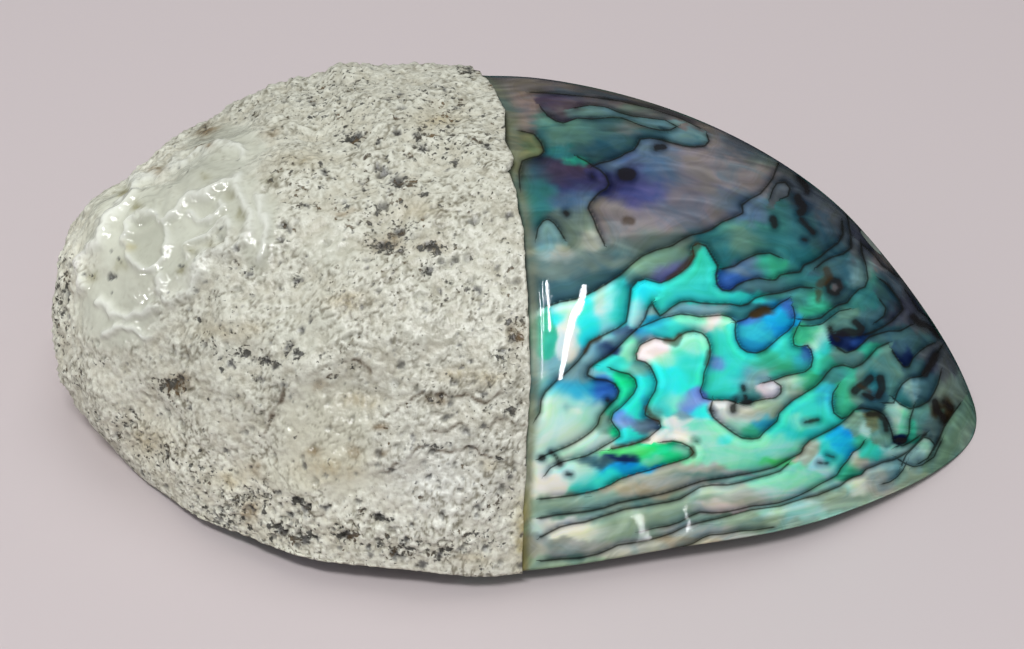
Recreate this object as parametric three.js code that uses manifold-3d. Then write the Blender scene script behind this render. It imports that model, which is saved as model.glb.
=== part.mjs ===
// Abalone shell lying mouth down on its rim, one half of its back ground and polished to the nacre.
// Millimetres, +Z up. +X is the growing end, -X the spire end and -Y the outer lip.

import * as THREE from 'three';
import { mergeVertices } from 'three/addons/utils/BufferGeometryUtils.js';
import Module from 'manifold-3d';

// Overall size
const LENGTH = 149;
const WIDTH = 98;
const HEIGHT = 45.5;

// Rim in plan, every 30 degrees from the growing end round by the back, in half lengths and half widths
const RIM_STATIONS = [
  [0.995, -0.14],
  [0.865, 0.405],
  [0.485, 0.805],
  [-0.04, 0.995],
  [-0.6, 0.87],
  [-0.865, 0.37],
  [-0.915, -0.135],
  [-0.79, -0.635],
  [-0.465, -0.98],
  [-0.05, -1.015],
  [0.335, -0.861],
  [0.69, -0.64],
];

// Dome: the place of its highest point, and the angle of the arc from there down to the rim on each side
const CROWN_X = -2.6;
const CROWN_Y = -7;
const ARC_ANGLE = { outerLip: 68, back: 102, spireEnd: 107, growingEnd: 76 };
const CROWN_SPACING = 1.3;
const NORMAL_STEP = 0.01;

// Wall, outer lip and the broad inner lip along the back, in mm
const WALL = 3;
const OUTER_LIP = 2.4;
const INNER_LIP = 9;
const INNER_LIP_SIDE = 120;
const INNER_LIP_SPREAD = 75;
const INNER_LIP_DEPTH = 0.14;
const RIM_CLEARANCE = 0.3;

// Arches where the rim stands off the surface: height in mm, middle and half spread in degrees
const RIM_ARCHES = [
  { height: 3.4, side: -102, spread: 64 },
  { height: 3.1, side: -42, spread: 44 },
  { height: 1.2, side: 55, spread: 40 },
];

// Ridge that carries the pores, along the back
const RIDGE_HEIGHT = 2.6;
const RIDGE_REACH = 0.59;
const RIDGE_BREADTH = 0.2;
const RIDGE_SIDE = 85;
const RIDGE_FULL_SPREAD = 50;
const RIDGE_SPREAD = 90;

// Broad swellings and flats of the dome: height in mm, side in degrees, reach from crown to rim as 0 to 1
const SWELLING_LEAN = 0.9;
const SWELLINGS = [
  { height: 5.2, side: 185, spread: 25, reach: 0.65, breadth: 0.3 },
  { height: -1.4, side: 150, spread: 30, reach: 0.62, breadth: 0.22 },
  { height: -3.2, side: -165, spread: 30, reach: 0.85, breadth: 0.3 },
  { height: -3.2, side: -130, spread: 25, reach: 0.9, breadth: 0.3 },
];

// Crust left on the spire half: thickness, its lumps, and the edge where the grinding stopped
const CRUST = 1.1;
const CRUST_EDGE_RUN = 0.015;
const CRUST_AT_RIM = 0.5;
const CRUST_THINS_FROM = 0.85;
const CALM_EDGE = 0.12;
const LUMP_HEIGHT = 0.55;
const LUMP_WAVES = 14;
const LONGEST_LUMP = 24;
const SHORTEST_LUMP = 7;

// The polished dome falls away to the edge of the crust: drop in mm, run as a share of the half length
const SHOULDER_DROP = 0.5;
const SHOULDER_RUN = 0.13;
const SHOULDER_ENDS_FROM = 0.95;

// Spire: a low coil on the crust
const SPIRE = { x: -53, y: -15, height: 0.2, radius: 17, firstWhorl: 4, growth: 2.1 };

// Pits and ledges of the crust, at places in plan
const PITS = [
  { x: -27, y: -30, radius: 3.5, depth: 1.2 },
  { x: -18, y: -12, radius: 3.5, depth: 1 },
  { x: -14, y: -21, radius: 4, depth: 1 },
  { x: -42, y: -30, radius: 4, depth: 1 },
  { x: -30, y: 2, radius: 3.5, depth: 0.9 },
  { x: -18, y: -42, radius: 4, depth: 1.1 },
  { x: -34, y: 22, radius: 4, depth: 1 },
  { x: -16, y: 33, radius: 3.5, depth: 1 },
];
const LEDGES = [
  { reach: 0.62, drop: 0.4 },
  { reach: 0.8, drop: 0.4 },
];
const LEDGE_RUN = 0.05;

// Open pores on the ridge, the newest and largest nearest the growing end
const PORES = 5;
const FIRST_PORE_SIDE = 24;
const PORE_STEP = 14;
const PORE_REACH = 0.7;
const PORE_RADIUS = 2.6;
const PORE_SHRINK = 0.12;
const PORE_TAPER = 0.2;
const PORE_DRILL = 16;
const PORE_FACETS = 14;

// Grid of facets laid over the dome; its middle column follows the edge of the crust
const COLUMNS = 48;
const ROWS = 36;
const GRID_TURN = 10.6;
const GRID_SHIFT = 0.061;

// Bends of that edge to either side, at places along it
const EDGE_BENDS = [
  { shift: -0.029, row: 0.03, spread: 0.17 },
  { shift: 0.013, row: -0.56, spread: 0.22 },
];

const { degToRad, radToDeg, smoothstep, lerp, clamp } = THREE.MathUtils;

const rimCurve = new THREE.CatmullRomCurve3(
  RIM_STATIONS.map(([along, across]) => new THREE.Vector3((along * LENGTH) / 2, (across * WIDTH) / 2, 0)),
  true,
  'catmullrom',
  0.5,
);

function rimAt(side) {
  return rimCurve.getPoint(THREE.MathUtils.euclideanModulo(side / 360, 1));
}

function sidesApart(side, other) {
  return THREE.MathUtils.euclideanModulo(side - other + 180, 360) - 180;
}

// A smooth hump, 1 at its middle and 0 from its spread outwards
function hump(side, middle, spread) {
  const apart = Math.abs(sidesApart(side, middle));
  return apart < spread ? 0.5 + 0.5 * Math.cos((Math.PI * apart) / spread) : 0;
}

function bell(distance, spread) {
  return Math.exp(-((distance / spread) ** 2));
}

function rimHeight(side) {
  return RIM_ARCHES.reduce((sum, arch) => sum + arch.height * hump(side, arch.side, arch.spread), 0);
}

function arcAngle(side) {
  const along = Math.cos(degToRad(side));
  const across = Math.sin(degToRad(side));
  const acrossAngle = across < 0 ? ARC_ANGLE.outerLip : ARC_ANGLE.back;
  const alongAngle = along < 0 ? ARC_ANGLE.spireEnd : ARC_ANGLE.growingEnd;
  return degToRad(acrossAngle * across ** 2 + alongAngle * along ** 2);
}

function swelling(reach, side) {
  const fromRidge = Math.abs(sidesApart(side, RIDGE_SIDE));
  const alongBack = 1 - smoothstep(fromRidge, RIDGE_FULL_SPREAD, RIDGE_SPREAD);
  const ridge = RIDGE_HEIGHT * alongBack * bell(reach - RIDGE_REACH, RIDGE_BREADTH);
  return SWELLINGS.reduce((sum, form) => {
    const across = bell(sidesApart(side, form.side), form.spread);
    return sum + form.height * across * bell(reach - form.reach, form.breadth);
  }, ridge);
}

// A point of the dome, by reach from crown to rim and by side, with its rim drawn in and its top lowered.
// The rings of one reach are centred under the crown at the top and on the origin at the rim.
function domeAt(reach, side, drawnIn = 0, lowered = 0) {
  const outward = rimAt(side);
  const span = outward.length() - drawnIn;
  outward.normalize();
  const fullArc = arcAngle(side);
  const start = (CROWN_SPACING * Math.sin(fullArc)) / fullArc;
  const arc = fullArc * reach * lerp(start, 1, reach ** 2);
  const rise = (Math.cos(arc) - Math.cos(fullArc)) / (1 - Math.cos(fullArc));
  const swell = swelling(reach, side);
  const foot = rimHeight(side);
  const lean = SWELLING_LEAN * arc;
  const distance = (span * Math.sin(arc)) / Math.sin(fullArc) + swell * Math.sin(lean);
  const height = foot + (HEIGHT - lowered - foot) * rise + swell * Math.cos(lean);
  const toCrown = 1 - reach ** 2;
  return new THREE.Vector3(CROWN_X * toCrown, CROWN_Y * toCrown, height).addScaledVector(outward, distance);
}

function domeNormal(reach, side) {
  const from = clamp(reach, 2 * NORMAL_STEP, 1 - NORMAL_STEP);
  const down = domeAt(from + NORMAL_STEP, side).sub(domeAt(from - NORMAL_STEP, side));
  const round = domeAt(from, side + 1).sub(domeAt(from, side - 1));
  return down.cross(round).normalize();
}

// Where a grid place, -1 to 1 each way, lies on the dome
function gridPlace(column, row) {
  const bend = EDGE_BENDS.reduce((sum, place) => {
    return sum + place.shift * bell(row - place.row, place.spread);
  }, 0);
  const bentColumn = column + bend * (1 - column ** 2);
  const flatX = bentColumn * Math.sqrt(1 - row ** 2 / 2);
  const flatY = row * Math.sqrt(1 - bentColumn ** 2 / 2);
  const turned = new THREE.Vector2(flatX, flatY).rotateAround(new THREE.Vector2(), degToRad(GRID_TURN));
  turned.x += GRID_SHIFT * (1 - turned.lengthSq());
  return { reach: Math.min(turned.length(), 1), side: radToDeg(turned.angle()) };
}

// Waves of many lengths and directions, added up
function lumps(point) {
  const goldenAngle = Math.PI * (3 - Math.sqrt(5));
  let sum = 0;
  for (let wave = 0; wave < LUMP_WAVES; wave += 1) {
    const climb = 1 - (2 * (wave + 0.5)) / LUMP_WAVES;
    const level = Math.sqrt(1 - climb ** 2);
    const direction = new THREE.Vector3(Math.cos(wave * goldenAngle), Math.sin(wave * goldenAngle), 0)
      .multiplyScalar(level)
      .setZ(climb);
    const wavelength = lerp(LONGEST_LUMP, SHORTEST_LUMP, wave / (LUMP_WAVES - 1));
    const phase = (2 * Math.PI * direction.dot(point)) / wavelength + wave;
    sum += Math.sin(phase) * Math.sqrt(wavelength / LONGEST_LUMP);
  }
  return sum / Math.sqrt(LUMP_WAVES / 2);
}

function spireCoil(point) {
  const fromApex = Math.hypot(point.x - SPIRE.x, point.y - SPIRE.y);
  const turn = Math.atan2(point.y - SPIRE.y, point.x - SPIRE.x) / (2 * Math.PI);
  const whorls = Math.log(Math.max(fromApex, 1) / SPIRE.firstWhorl) / Math.log(SPIRE.growth);
  const coil = Math.cos(2 * Math.PI * (whorls - turn));
  return SPIRE.height * coil * (1 - smoothstep(fromApex, SPIRE.radius / 2, SPIRE.radius));
}

// How far the crust stands out from the polished dome
function crustRelief(point, reach, column) {
  const pitted = PITS.reduce((sum, pit) => {
    const away = Math.hypot(point.x - pit.x, point.y - pit.y);
    return sum + pit.depth * bell(away, pit.radius);
  }, 0);
  const stepped = LEDGES.reduce((sum, ledge) => {
    const below = smoothstep(reach, ledge.reach - LEDGE_RUN, ledge.reach);
    return sum + ledge.drop * (below - smoothstep(reach, ledge.reach, 1));
  }, 0);
  const fromEdge = smoothstep(-column, 0, CALM_EDGE);
  const relief = CRUST + fromEdge * (LUMP_HEIGHT * lumps(point) - pitted - stepped) + spireCoil(point);
  return relief * lerp(1, CRUST_AT_RIM, smoothstep(reach, CRUST_THINS_FROM, 1));
}

// How far the polished dome lies below its full form beside the crust
function shoulder(reach, column) {
  const near = Math.max(1 - column / SHOULDER_RUN, 0) ** 2;
  return SHOULDER_DROP * near * (1 - smoothstep(reach, SHOULDER_ENDS_FROM, 1));
}

// The rim lies at its own height all round, and nothing beside it reaches as low
function footed(point, side, onRim) {
  const foot = rimHeight(side);
  point.z = onRim ? foot : Math.max(point.z, foot + RIM_CLEARANCE);
  return point;
}

function outerPoint(column, row, onRim) {
  const { reach, side } = gridPlace(column, row);
  const point = domeAt(reach, side);
  const standsOut = column <= 0 ? crustRelief(point, reach, column) : -shoulder(reach, column);
  point.addScaledVector(domeNormal(reach, side), standsOut);
  return footed(point, side, onRim);
}

function innerPoint(column, row, onRim) {
  const { reach, side } = gridPlace(column, row);
  const lip = lerp(OUTER_LIP, INNER_LIP, hump(side, INNER_LIP_SIDE, INNER_LIP_SPREAD));
  const drawnIn = lerp(WALL, lip, smoothstep(reach, 1 - INNER_LIP_DEPTH, 1));
  const point = domeAt(reach, side, drawnIn, WALL);
  return footed(point, side, onRim);
}

// The column right of the middle one closes up to it, so that the crust ends in a step
function columnPlace(index) {
  const half = COLUMNS / 2;
  return index <= half ? index / half - 1 : lerp(CRUST_EDGE_RUN, 1, (index - half - 1) / (half - 1));
}

function gridPoints(pointAt) {
  const points = [];
  for (let row = 0; row <= ROWS; row += 1) {
    for (let column = 0; column <= COLUMNS; column += 1) {
      const onRim = row === 0 || row === ROWS || column === 0 || column === COLUMNS;
      points.push(pointAt(columnPlace(column), (2 * row) / ROWS - 1, onRim));
    }
  }
  return points;
}

const gridIndex = (column, row) => row * (COLUMNS + 1) + column;

// Two triangles for each grid cell, split along the diagonal that points to the crown
function gridTriangles() {
  const triangles = [];
  for (let row = 0; row < ROWS; row += 1) {
    for (let column = 0; column < COLUMNS; column += 1) {
      const near = gridIndex(column, row);
      const right = gridIndex(column + 1, row);
      const far = gridIndex(column + 1, row + 1);
      const left = gridIndex(column, row + 1);
      const slopesUp = column < COLUMNS / 2 === row < ROWS / 2;
      const split = slopesUp ? [near, right, far, near, far, left] : [near, right, left, right, far, left];
      triangles.push(...split);
    }
  }
  return triangles;
}

// The grid's border, counter-clockwise seen from above
function gridBorder() {
  const front = Array.from({ length: COLUMNS }, (_, step) => gridIndex(step, 0));
  const growingEnd = Array.from({ length: ROWS }, (_, step) => gridIndex(COLUMNS, step));
  const back = Array.from({ length: COLUMNS }, (_, step) => gridIndex(COLUMNS - step, ROWS));
  const spireEnd = Array.from({ length: ROWS }, (_, step) => gridIndex(0, ROWS - step));
  return [...front, ...growingEnd, ...back, ...spireEnd];
}

// The shell's wall: the outer grid, the inner grid turned over, and the rim between their borders
function shellGeometry() {
  const outer = gridPoints(outerPoint);
  const inner = gridPoints(innerPoint);
  const outerTriangles = gridTriangles();
  const innerTriangles = outerTriangles.map((index) => index + outer.length).reverse();
  const border = gridBorder();
  const rimTriangles = border.flatMap((start, place) => {
    const end = border[(place + 1) % border.length];
    return [start, start + outer.length, end, end, start + outer.length, end + outer.length];
  });
  const geometry = new THREE.BufferGeometry().setFromPoints([...outer, ...inner]);
  geometry.setIndex([...outerTriangles, ...innerTriangles, ...rimTriangles]);
  return geometry;
}

// A tapered drill along the dome's normal, for each pore
function poreGeometry(pore) {
  const side = FIRST_PORE_SIDE + pore * PORE_STEP;
  const radius = PORE_RADIUS * (1 - PORE_SHRINK * pore);
  const normal = domeNormal(PORE_REACH, side);
  const wide = radius * (1 + PORE_TAPER);
  const narrow = radius * (1 - PORE_TAPER);
  const geometry = new THREE.CylinderGeometry(wide, narrow, PORE_DRILL, PORE_FACETS);
  const turn = new THREE.Quaternion().setFromUnitVectors(new THREE.Vector3(0, 1, 0), normal);
  const place = domeAt(PORE_REACH, side);
  return geometry.applyQuaternion(turn).translate(place.x, place.y, place.z);
}

const wasm = await Module();
wasm.setup();

function toSolid(geometry) {
  const bare = geometry.clone();
  bare.deleteAttribute('normal');
  bare.deleteAttribute('uv');
  const merged = mergeVertices(bare);
  return new wasm.Manifold(
    new wasm.Mesh({
      numProp: 3,
      vertProperties: merged.attributes.position.array,
      triVerts: new Uint32Array(merged.index.array),
    }),
  );
}

function toGeometry(solid) {
  const mesh = solid.getMesh();
  const geometry = new THREE.BufferGeometry();
  geometry.setAttribute('position', new THREE.BufferAttribute(mesh.vertProperties, mesh.numProp));
  geometry.setIndex(new THREE.BufferAttribute(mesh.triVerts, 1));
  geometry.computeVertexNormals();
  return geometry;
}

let shellSolid = toSolid(shellGeometry());
for (let pore = 0; pore < PORES; pore += 1) {
  shellSolid = shellSolid.subtract(toSolid(poreGeometry(pore)));
}

const shellMaterial = new THREE.MeshStandardMaterial({ color: 0xb9bdb0, roughness: 0.45, metalness: 0 });
const shell = new THREE.Mesh(toGeometry(shellSolid), shellMaterial);
shell.name = 'shell';

const group = new THREE.Group();
group.add(shell);

export default group;
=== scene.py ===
import math

import bpy
import numpy as np
from mathutils import Matrix, Vector, kdtree, noise


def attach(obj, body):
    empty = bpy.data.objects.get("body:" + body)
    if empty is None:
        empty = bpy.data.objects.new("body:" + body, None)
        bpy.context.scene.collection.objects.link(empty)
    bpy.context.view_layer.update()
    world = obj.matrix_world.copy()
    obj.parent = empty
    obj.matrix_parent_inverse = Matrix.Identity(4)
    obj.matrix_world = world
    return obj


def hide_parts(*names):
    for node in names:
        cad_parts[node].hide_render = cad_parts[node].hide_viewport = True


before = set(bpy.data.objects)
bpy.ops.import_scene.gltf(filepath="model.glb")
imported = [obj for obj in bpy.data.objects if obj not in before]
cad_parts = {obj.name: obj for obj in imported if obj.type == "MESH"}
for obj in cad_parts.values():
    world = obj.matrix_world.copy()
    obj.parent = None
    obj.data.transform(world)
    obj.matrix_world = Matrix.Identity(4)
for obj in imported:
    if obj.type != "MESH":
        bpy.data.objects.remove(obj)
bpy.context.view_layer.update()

# Overall size of the shell in millimetres, as in the part's source
LENGTH = 149.0
WIDTH = 98.0
HEIGHT = 45.5
MILLIMETRE = 0.001

# Rim in plan, every 30 degrees from the growing end, in half lengths and half widths
RIM_STATIONS = np.array([
    (0.995, -0.14),
    (0.865, 0.405),
    (0.485, 0.805),
    (-0.04, 0.995),
    (-0.6, 0.87),
    (-0.865, 0.37),
    (-0.915, -0.135),
    (-0.79, -0.635),
    (-0.465, -0.98),
    (-0.05, -1.015),
    (0.335, -0.861),
    (0.69, -0.64),
])

# Dome
CROWN = np.array([-2.6, -7.0])
ARC_OUTER_LIP = 68.0
ARC_BACK = 102.0
ARC_SPIRE_END = 107.0
ARC_GROWING_END = 76.0
CROWN_SPACING = 1.3
NORMAL_STEP = 0.01

# Wall and lips
WALL = 3.0
OUTER_LIP = 2.4
INNER_LIP = 9.0
INNER_LIP_SIDE = 120.0
INNER_LIP_SPREAD = 75.0
INNER_LIP_DEPTH = 0.14
RIM_CLEARANCE = 0.3

# Arches of the rim: height, side, spread
RIM_ARCHES = [(3.4, -102.0, 64.0), (3.1, -42.0, 44.0), (1.2, 55.0, 40.0)]

# Ridge of the pores
RIDGE_HEIGHT = 2.6
RIDGE_REACH = 0.59
RIDGE_BREADTH = 0.2
RIDGE_SIDE = 85.0
RIDGE_FULL_SPREAD = 50.0
RIDGE_SPREAD = 90.0

# Swellings of the dome: height, side, spread, reach, breadth
SWELLING_LEAN = 0.9
SWELLINGS = [
    (5.2, 185.0, 25.0, 0.65, 0.3),
    (-1.4, 150.0, 30.0, 0.62, 0.22),
    (-3.2, -165.0, 30.0, 0.85, 0.3),
    (-3.2, -130.0, 25.0, 0.9, 0.3),
]

# Crust
CRUST = 1.1
CRUST_AT_RIM = 0.5
CRUST_THINS_FROM = 0.85
CALM_EDGE = 0.12
FILLET_HEIGHT = 0.55
FILLET_RUN = 0.034
SHOULDER_DROP = 0.5
SHOULDER_RUN = 0.13
LUMP_HEIGHT = 0.55
LUMP_WAVES = 14
LONGEST_LUMP = 24.0
SHORTEST_LUMP = 7.0
SPIRE_X = -53.0
SPIRE_Y = -15.0
SPIRE_HEIGHT = 0.2
SPIRE_RADIUS = 17.0
SPIRE_FIRST_WHORL = 4.0
SPIRE_GROWTH = 2.1

# Broad pits of the crust: x, y, radius, depth
BROAD_PITS = [
    (-27.0, -30.0, 3.5, 1.2),
    (-18.0, -12.0, 3.5, 1.0),
    (-14.0, -21.0, 4.0, 1.0),
    (-42.0, -30.0, 4.0, 1.0),
    (-30.0, 2.0, 3.5, 0.9),
    (-18.0, -42.0, 4.0, 1.1),
    (-34.0, 22.0, 4.0, 1.0),
    (-16.0, 33.0, 3.5, 1.0),
]
LEDGES = [(0.62, 0.4), (0.8, 0.4)]
LEDGE_RUN = 0.05

# Pores
PORES = 5
FIRST_PORE_SIDE = 24.0
PORE_STEP = 14.0
PORE_REACH = 0.7
PORE_RADIUS = 2.6
PORE_SHRINK = 0.12
PORE_TAPER = 0.2

# Grid laid over the dome; column 0 follows the edge of the crust
GRID_TURN = 10.6
GRID_SHIFT = 0.061
EDGE_BENDS = [(-0.029, 0.03, 0.17), (0.013, -0.56, 0.22)]
LAST_SEEN_ROW = 0.5

# Camera in millimetres and degrees, for a picture of 1024 by 649
IMAGE_WIDTH = 1024
IMAGE_HEIGHT = 649
CAMERA_AZIMUTH = 6.52
CAMERA_ELEVATION = 38.76
CAMERA_DISTANCE = 334.35
CAMERA_AIM = np.array([-0.3, 0.45, 9.2])
FOCAL_PIXELS = 2075.0
SENSOR = 36.0

# Meshes: columns and rows of the grids, and depths in millimetres
TOLERANCE = 1e-9
NACRE_COLUMNS = 232
EDGE_COLUMNS = 12
EDGE_COLUMN = 0.04
UNDER_CRUST_COLUMNS = 14
SEEN_ROWS = 240
HIDDEN_ROWS = 56
INNER_COLUMNS = 115
INNER_ROWS = 107
CRUST_COLUMNS = 230
CRUST_ROWS = 300
UNDERSIDE_COLUMNS = 31
UNDERSIDE_ROWS = 61
UNDERSIDE_DEPTH = 2.4
UNDERSIDE_DEPTH_AT_RIM = 0.9
UNDERSIDE_CLEARANCE = 0.15
UNDERSIDE_MIDDLE = np.array([-30.0, 0.0])
BODY_DEPTH = 2.0
BODY_DEPTH_AT_RIM = 0.4
SHOULDER_ENDS_FROM = 0.95
PORE_DEPTH = 8.0
NOISE_FALL = 1.0
NOISE_STEP = 2.0

# Growth lines and marks of the nacre, in pixels of the picture
LINE_CLEARANCE = 16.0
LINE_STEPS = 6
LINE_END = 12.0
LINE_RANGE = 30.0
LINE_HOLD_FROM = 9.6
LINE_HOLD = 16.0
LINE_REACH = 40.0
LINE_LEAK = 0.06
DEEP_ONSET = 1.6
DEEP_BAND = 4.4
PALE_BAND = 5.0
PALE_SPREAD = 3.5
MARK_RANGE = 12.0

# Fields of colour of the nacre
FIELD_DRIFT = 5.0
DRIFT_SIZE = 2.2
DRIFT_SHIFT = 30.0
DRIFT_OCTAVES = 2
FARTHEST_FIELD = 60.0
LEAST_WEIGHT = 1e-30
SEEN_FROM = 0.14
LEAST_SEEN = 0.01
SEEN_COLUMNS = (-0.02, -0.01)
# Painted sheen and shade: the polished half is made up to half again as bright in an oval over its lower
# middle, and darker away from it, where it mirrors less of the light
PAINTED_SHEEN = (660, 425, 250, 150)
PAINTED_SHEEN_MOST = 1.48
PAINTED_SHEEN_LEAST = 0.86
PAINTED_SHEEN_RANGE = (0.55, 1.5)
INSIDE_GREY = 128.0
FLOW_ALONG = 20.0
FLOW_SLANT = 12.0
FLOW_ACROSS = 36.0
GROWTH_SPAN = 52.0

# Tints beside the crust, and a painted shadow line along its edge: colour, column, spread, strength, and the
# heights in the picture where it comes in
EDGE_TINTS_AND_SHADOW = [
    ((122, 128, 112), 0.012, 0.016, 0.85, (0.0, 1.0)),
    # Painted shadow line under the crust's step
    ((40, 42, 36), 0.0, 0.005, 0.8, (0.0, 1.0)),
    ((150, 138, 84), 0.0, 0.022, 0.7, (470.0, 520.0)),
]

# Noises of the crust: shift and size in millimetres, and octaves
CRUST_NOISES = {
    "wander": (40.0, 2.4, 2),
    "drift": (-25.0, 2.4, 2),
    "grain": (0.0, 3.0, 3),
    "fine": (9.0, 0.95, 3),
    "swell": (70.0, 6.0, 2),
    "crumb": (55.0, 1.4, 2),
    "flake": (-15.0, 2.0, 2),
    "jag": (-60.0, 0.95, 3),
    "broken": (5.0, 2.2, 2),
}

# Fine relief of the crust in millimetres over its broad lumps, placed in pixels of the picture
RELIEF = {"grain": 0.3, "crumb": 0.46, "fine": 0.16, "swell": 0.3, "step": 0.26}
RELIEF_BASE = -0.35
LOWEST_CRUST = -1.6
FLAKE_STEP = 0.12
CRUST_SEEN_FROM = 0.1
WANDER = 5.0
CALM = 0.75
WILD = 1.3
WILD_BELOW = (470.0, 540.0)
WILD_LEFT = (60.0, 95.0)
WILD_ABOVE = (140.0, 220.0)
WILD_ABOVE_SHARE = 0.8
GLAZE_WANDER = 0.4
GLAZE_RANGE = (0.4, 1.5)
GLAZE_EVENS = 0.8
GLAZE_FILLS = 0.9
GLAZE_RELIEF = 0.4
KNOB = (322, 70, 30, 14)
KNOB_HEIGHT = 1.3
TUBE_HEIGHT = 0.8
SCAR_RANGE = (0.7, 1.2)
SCAR_LEVEL = -0.15
SCAR_FLATNESS = 0.85
RIM_RELIEF = 0.25
RIM_RELIEF_RANGE = (0.93, 0.99)
EDGE_RELIEF = 0.45
EDGE_RELIEF_RUN = 0.03
EDGE_WAVES = 15.0
EDGE_WAVE_OCTAVES = 3
EDGE_WAVER = 0.006
EDGE_WAVER_RUN = 0.05
EDGE_WAVER_ENDS = (0.93, 0.99)

# Pits and cracks of the crust
PIT_SEED = 11
RANDOM_PITS = 1700
PIT_LEAST = 0.16
PIT_SPREAD = 0.42
PIT_SIZE_POWER = 3.0
# Painted shade in the small pits
PIT_SHADE = 0.8
PIT_SHADE_POWER = 1.5
PIT_REACH = 2.0
PIT_RAGGED = 0.9
BLACK_JAG = 4.0
BLACK_FLATNESS = 1.3
BLACK_EDGE = 0.85
BLACK_DEPTH = 0.09
BLACK_DEEPEST = 0.55
# Painted shade in the black pits
BLACK_PIT_SHADE = 0.85
CLUSTER_SPREAD = 1.25
CLUSTER_DEPTH = 0.15
CRACK_BREAKS = (-0.35, 0.3)
CRACK_LEAST = 0.4
CRACK_WIDTH = 0.6
CRACK_FAINTEST = 0.25
CRACK_DEPTH = 0.4
CRACK_LIP = 0.35
CRACK_LIP_RUN = 14.0

# Colouring of the crust
TONE_FINE = 0.6
TONE_SWELL = 0.4
TONE_RANGE = (0.1, 0.65)
WHITE_PATCH = (440, 480, 70, 55)
CREAM_PATCH = (322, 440, 70, 70)
POOL_LEVEL = 0.6
POOL_SWELL = 0.4
STAIN_LEAST = 0.45
STAIN_RANGE = (-0.3, 0.4)
# Painted shade in the crevices of the crumb relief and in the flake grooves
CREVICE_SHADE_WIDTH = 0.085
CREVICE_SHADE_GRAIN = 0.6
CREVICE_SHADE_RANGE = (-0.4, 0.5)
FLAKE_SHADE_WIDTH = 0.035
FLAKE_SHADE_SHARE = 0.8
FLAKE_SHADE_RANGE = (-0.2, 0.5)
CLEAN_LEFT = (130.0, 210.0)
CLEAN_ABOVE = (380.0, 440.0)
CLEANING = 0.5
# Painted light: the crust's colour is made lighter near the floor and towards its left end
PAINTED_LIGHT_GAIN = 0.3
PAINTED_LIGHT_LOW = (8.0, 30.0)
PAINTED_LIGHT_LEFT = (-66.0, -48.0)
UNDERSIDE_GREY = 190.0

# Noises of the materials: scale, detail, distortion
NOISES = {
    "fold": (0.42, 1.3, 1.4),
    "shift": (150.0, 3.0, 0.8),
    "width": (150.0, 2.0, 0.0),
    "ragged": (420.0, 3.0, 0.0),
    "layer": (110.0, 3.0, 0.0),
    "echo": (1.0, 3.0, 0.0),
    "tint": (0.45, 2.0, 0.0),
    "band": (55.0, 3.0, 0.0),
    "field": (38.0, 2.0, 0.0),
    "ripple": (520.0, 2.0, 0.0),
    "grit": (1000.0, 5.0, 0.0),
    "speck": (1700.0, 3.0, 0.0),
    "blot": (820.0, 3.0, 0.0),
    "patch": (130.0, 3.0, 0.0),
    "rust": (260.0, 2.0, 0.0),
}

# Soft changes of tone in the nacre: blend, strength, and the colours along the noise
TONES = {
    "fold": ("OVERLAY", 0.42, [(0.3, (128, 128, 134)), (0.5, (188, 188, 188)), (0.68, (238, 238, 234))]),
    "shift": ("MULTIPLY", 0.9, [(0.34, (212, 242, 255)), (0.5, (255, 255, 255)), (0.66, (255, 255, 238))]),
    "echo": ("OVERLAY", 0.16, [(0.3, (140, 140, 144)), (0.5, (188, 188, 188)), (0.7, (240, 240, 236))]),
    "tint": ("MULTIPLY", 0.5, [(0.3, (226, 255, 255)), (0.5, (255, 255, 255)), (0.7, (255, 250, 222))]),
}

# Dark lines, bands and marks of the nacre: blend, colour, strength
INKS = {
    "halo": ("MULTIPLY", (118, 112, 92), 0.9),
    "deep": ("MULTIPLY", (84, 112, 138), 0.9),
    "line": ("MIX", (28, 30, 28), 0.86),
    "mark_halo": ("MULTIPLY", (110, 120, 140), 0.6),
    "dark_mark": ("MIX", (34, 32, 32), 0.86),
    "brown_mark": ("MIX", (66, 52, 32), 0.72),
}

# Nacre material
LINE_CORE = -0.7
LINE_WAVER = 2.3
LINE_WAVER_LEAST = 0.4
LINE_FADE = (6.0, 4.2)
LAYER_STEP = 0.13
LAYER_DRIFT = 4.5
HALO_FALL = -0.06
PALE_GAIN = (1.28, 1.28, 1.26, 1.0)
MARK_HALO = (6.0, 0.0)
MARK_RAGGED = 6.0
MARK_EDGES = {"dark_mark": (1.5, -1.6), "brown_mark": (2.4, -2.2)}
BAND_STEP = 0.17
BAND_WANDER = 4.2
HIDDEN_FIELD = [
    (0.3, (84, 80, 118)), (0.42, (58, 104, 150)), (0.5, (60, 170, 166)), (0.58, (96, 190, 160)),
    (0.7, (168, 176, 170)),
]
HIDDEN_BAND = [
    (0.0, (30, 34, 36)), (0.05, (225, 228, 222)), (0.35, (200, 205, 200)), (0.86, (110, 118, 124)),
    (0.97, (24, 30, 34)),
]
RIPPLE_DISTANCE = 0.00001
RIPPLE_STRENGTH = 0.4
NACRE_ROUGHNESS = 0.03
NACRE_SPECULAR = (0.22, 0.22, 0.23, 1.0)

# Crust material
GLAZE_COVERS = 0.9
# Painted shade: the grit darkens the colour where it sinks the bump
GRIT_SHADE_SHARE = 0.5
GRIT_SHADE_TONES = [(0.32, (172, 168, 154)), (0.54, (252, 252, 250))]
PATCH_RANGE = (0.42, 0.66)
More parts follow.
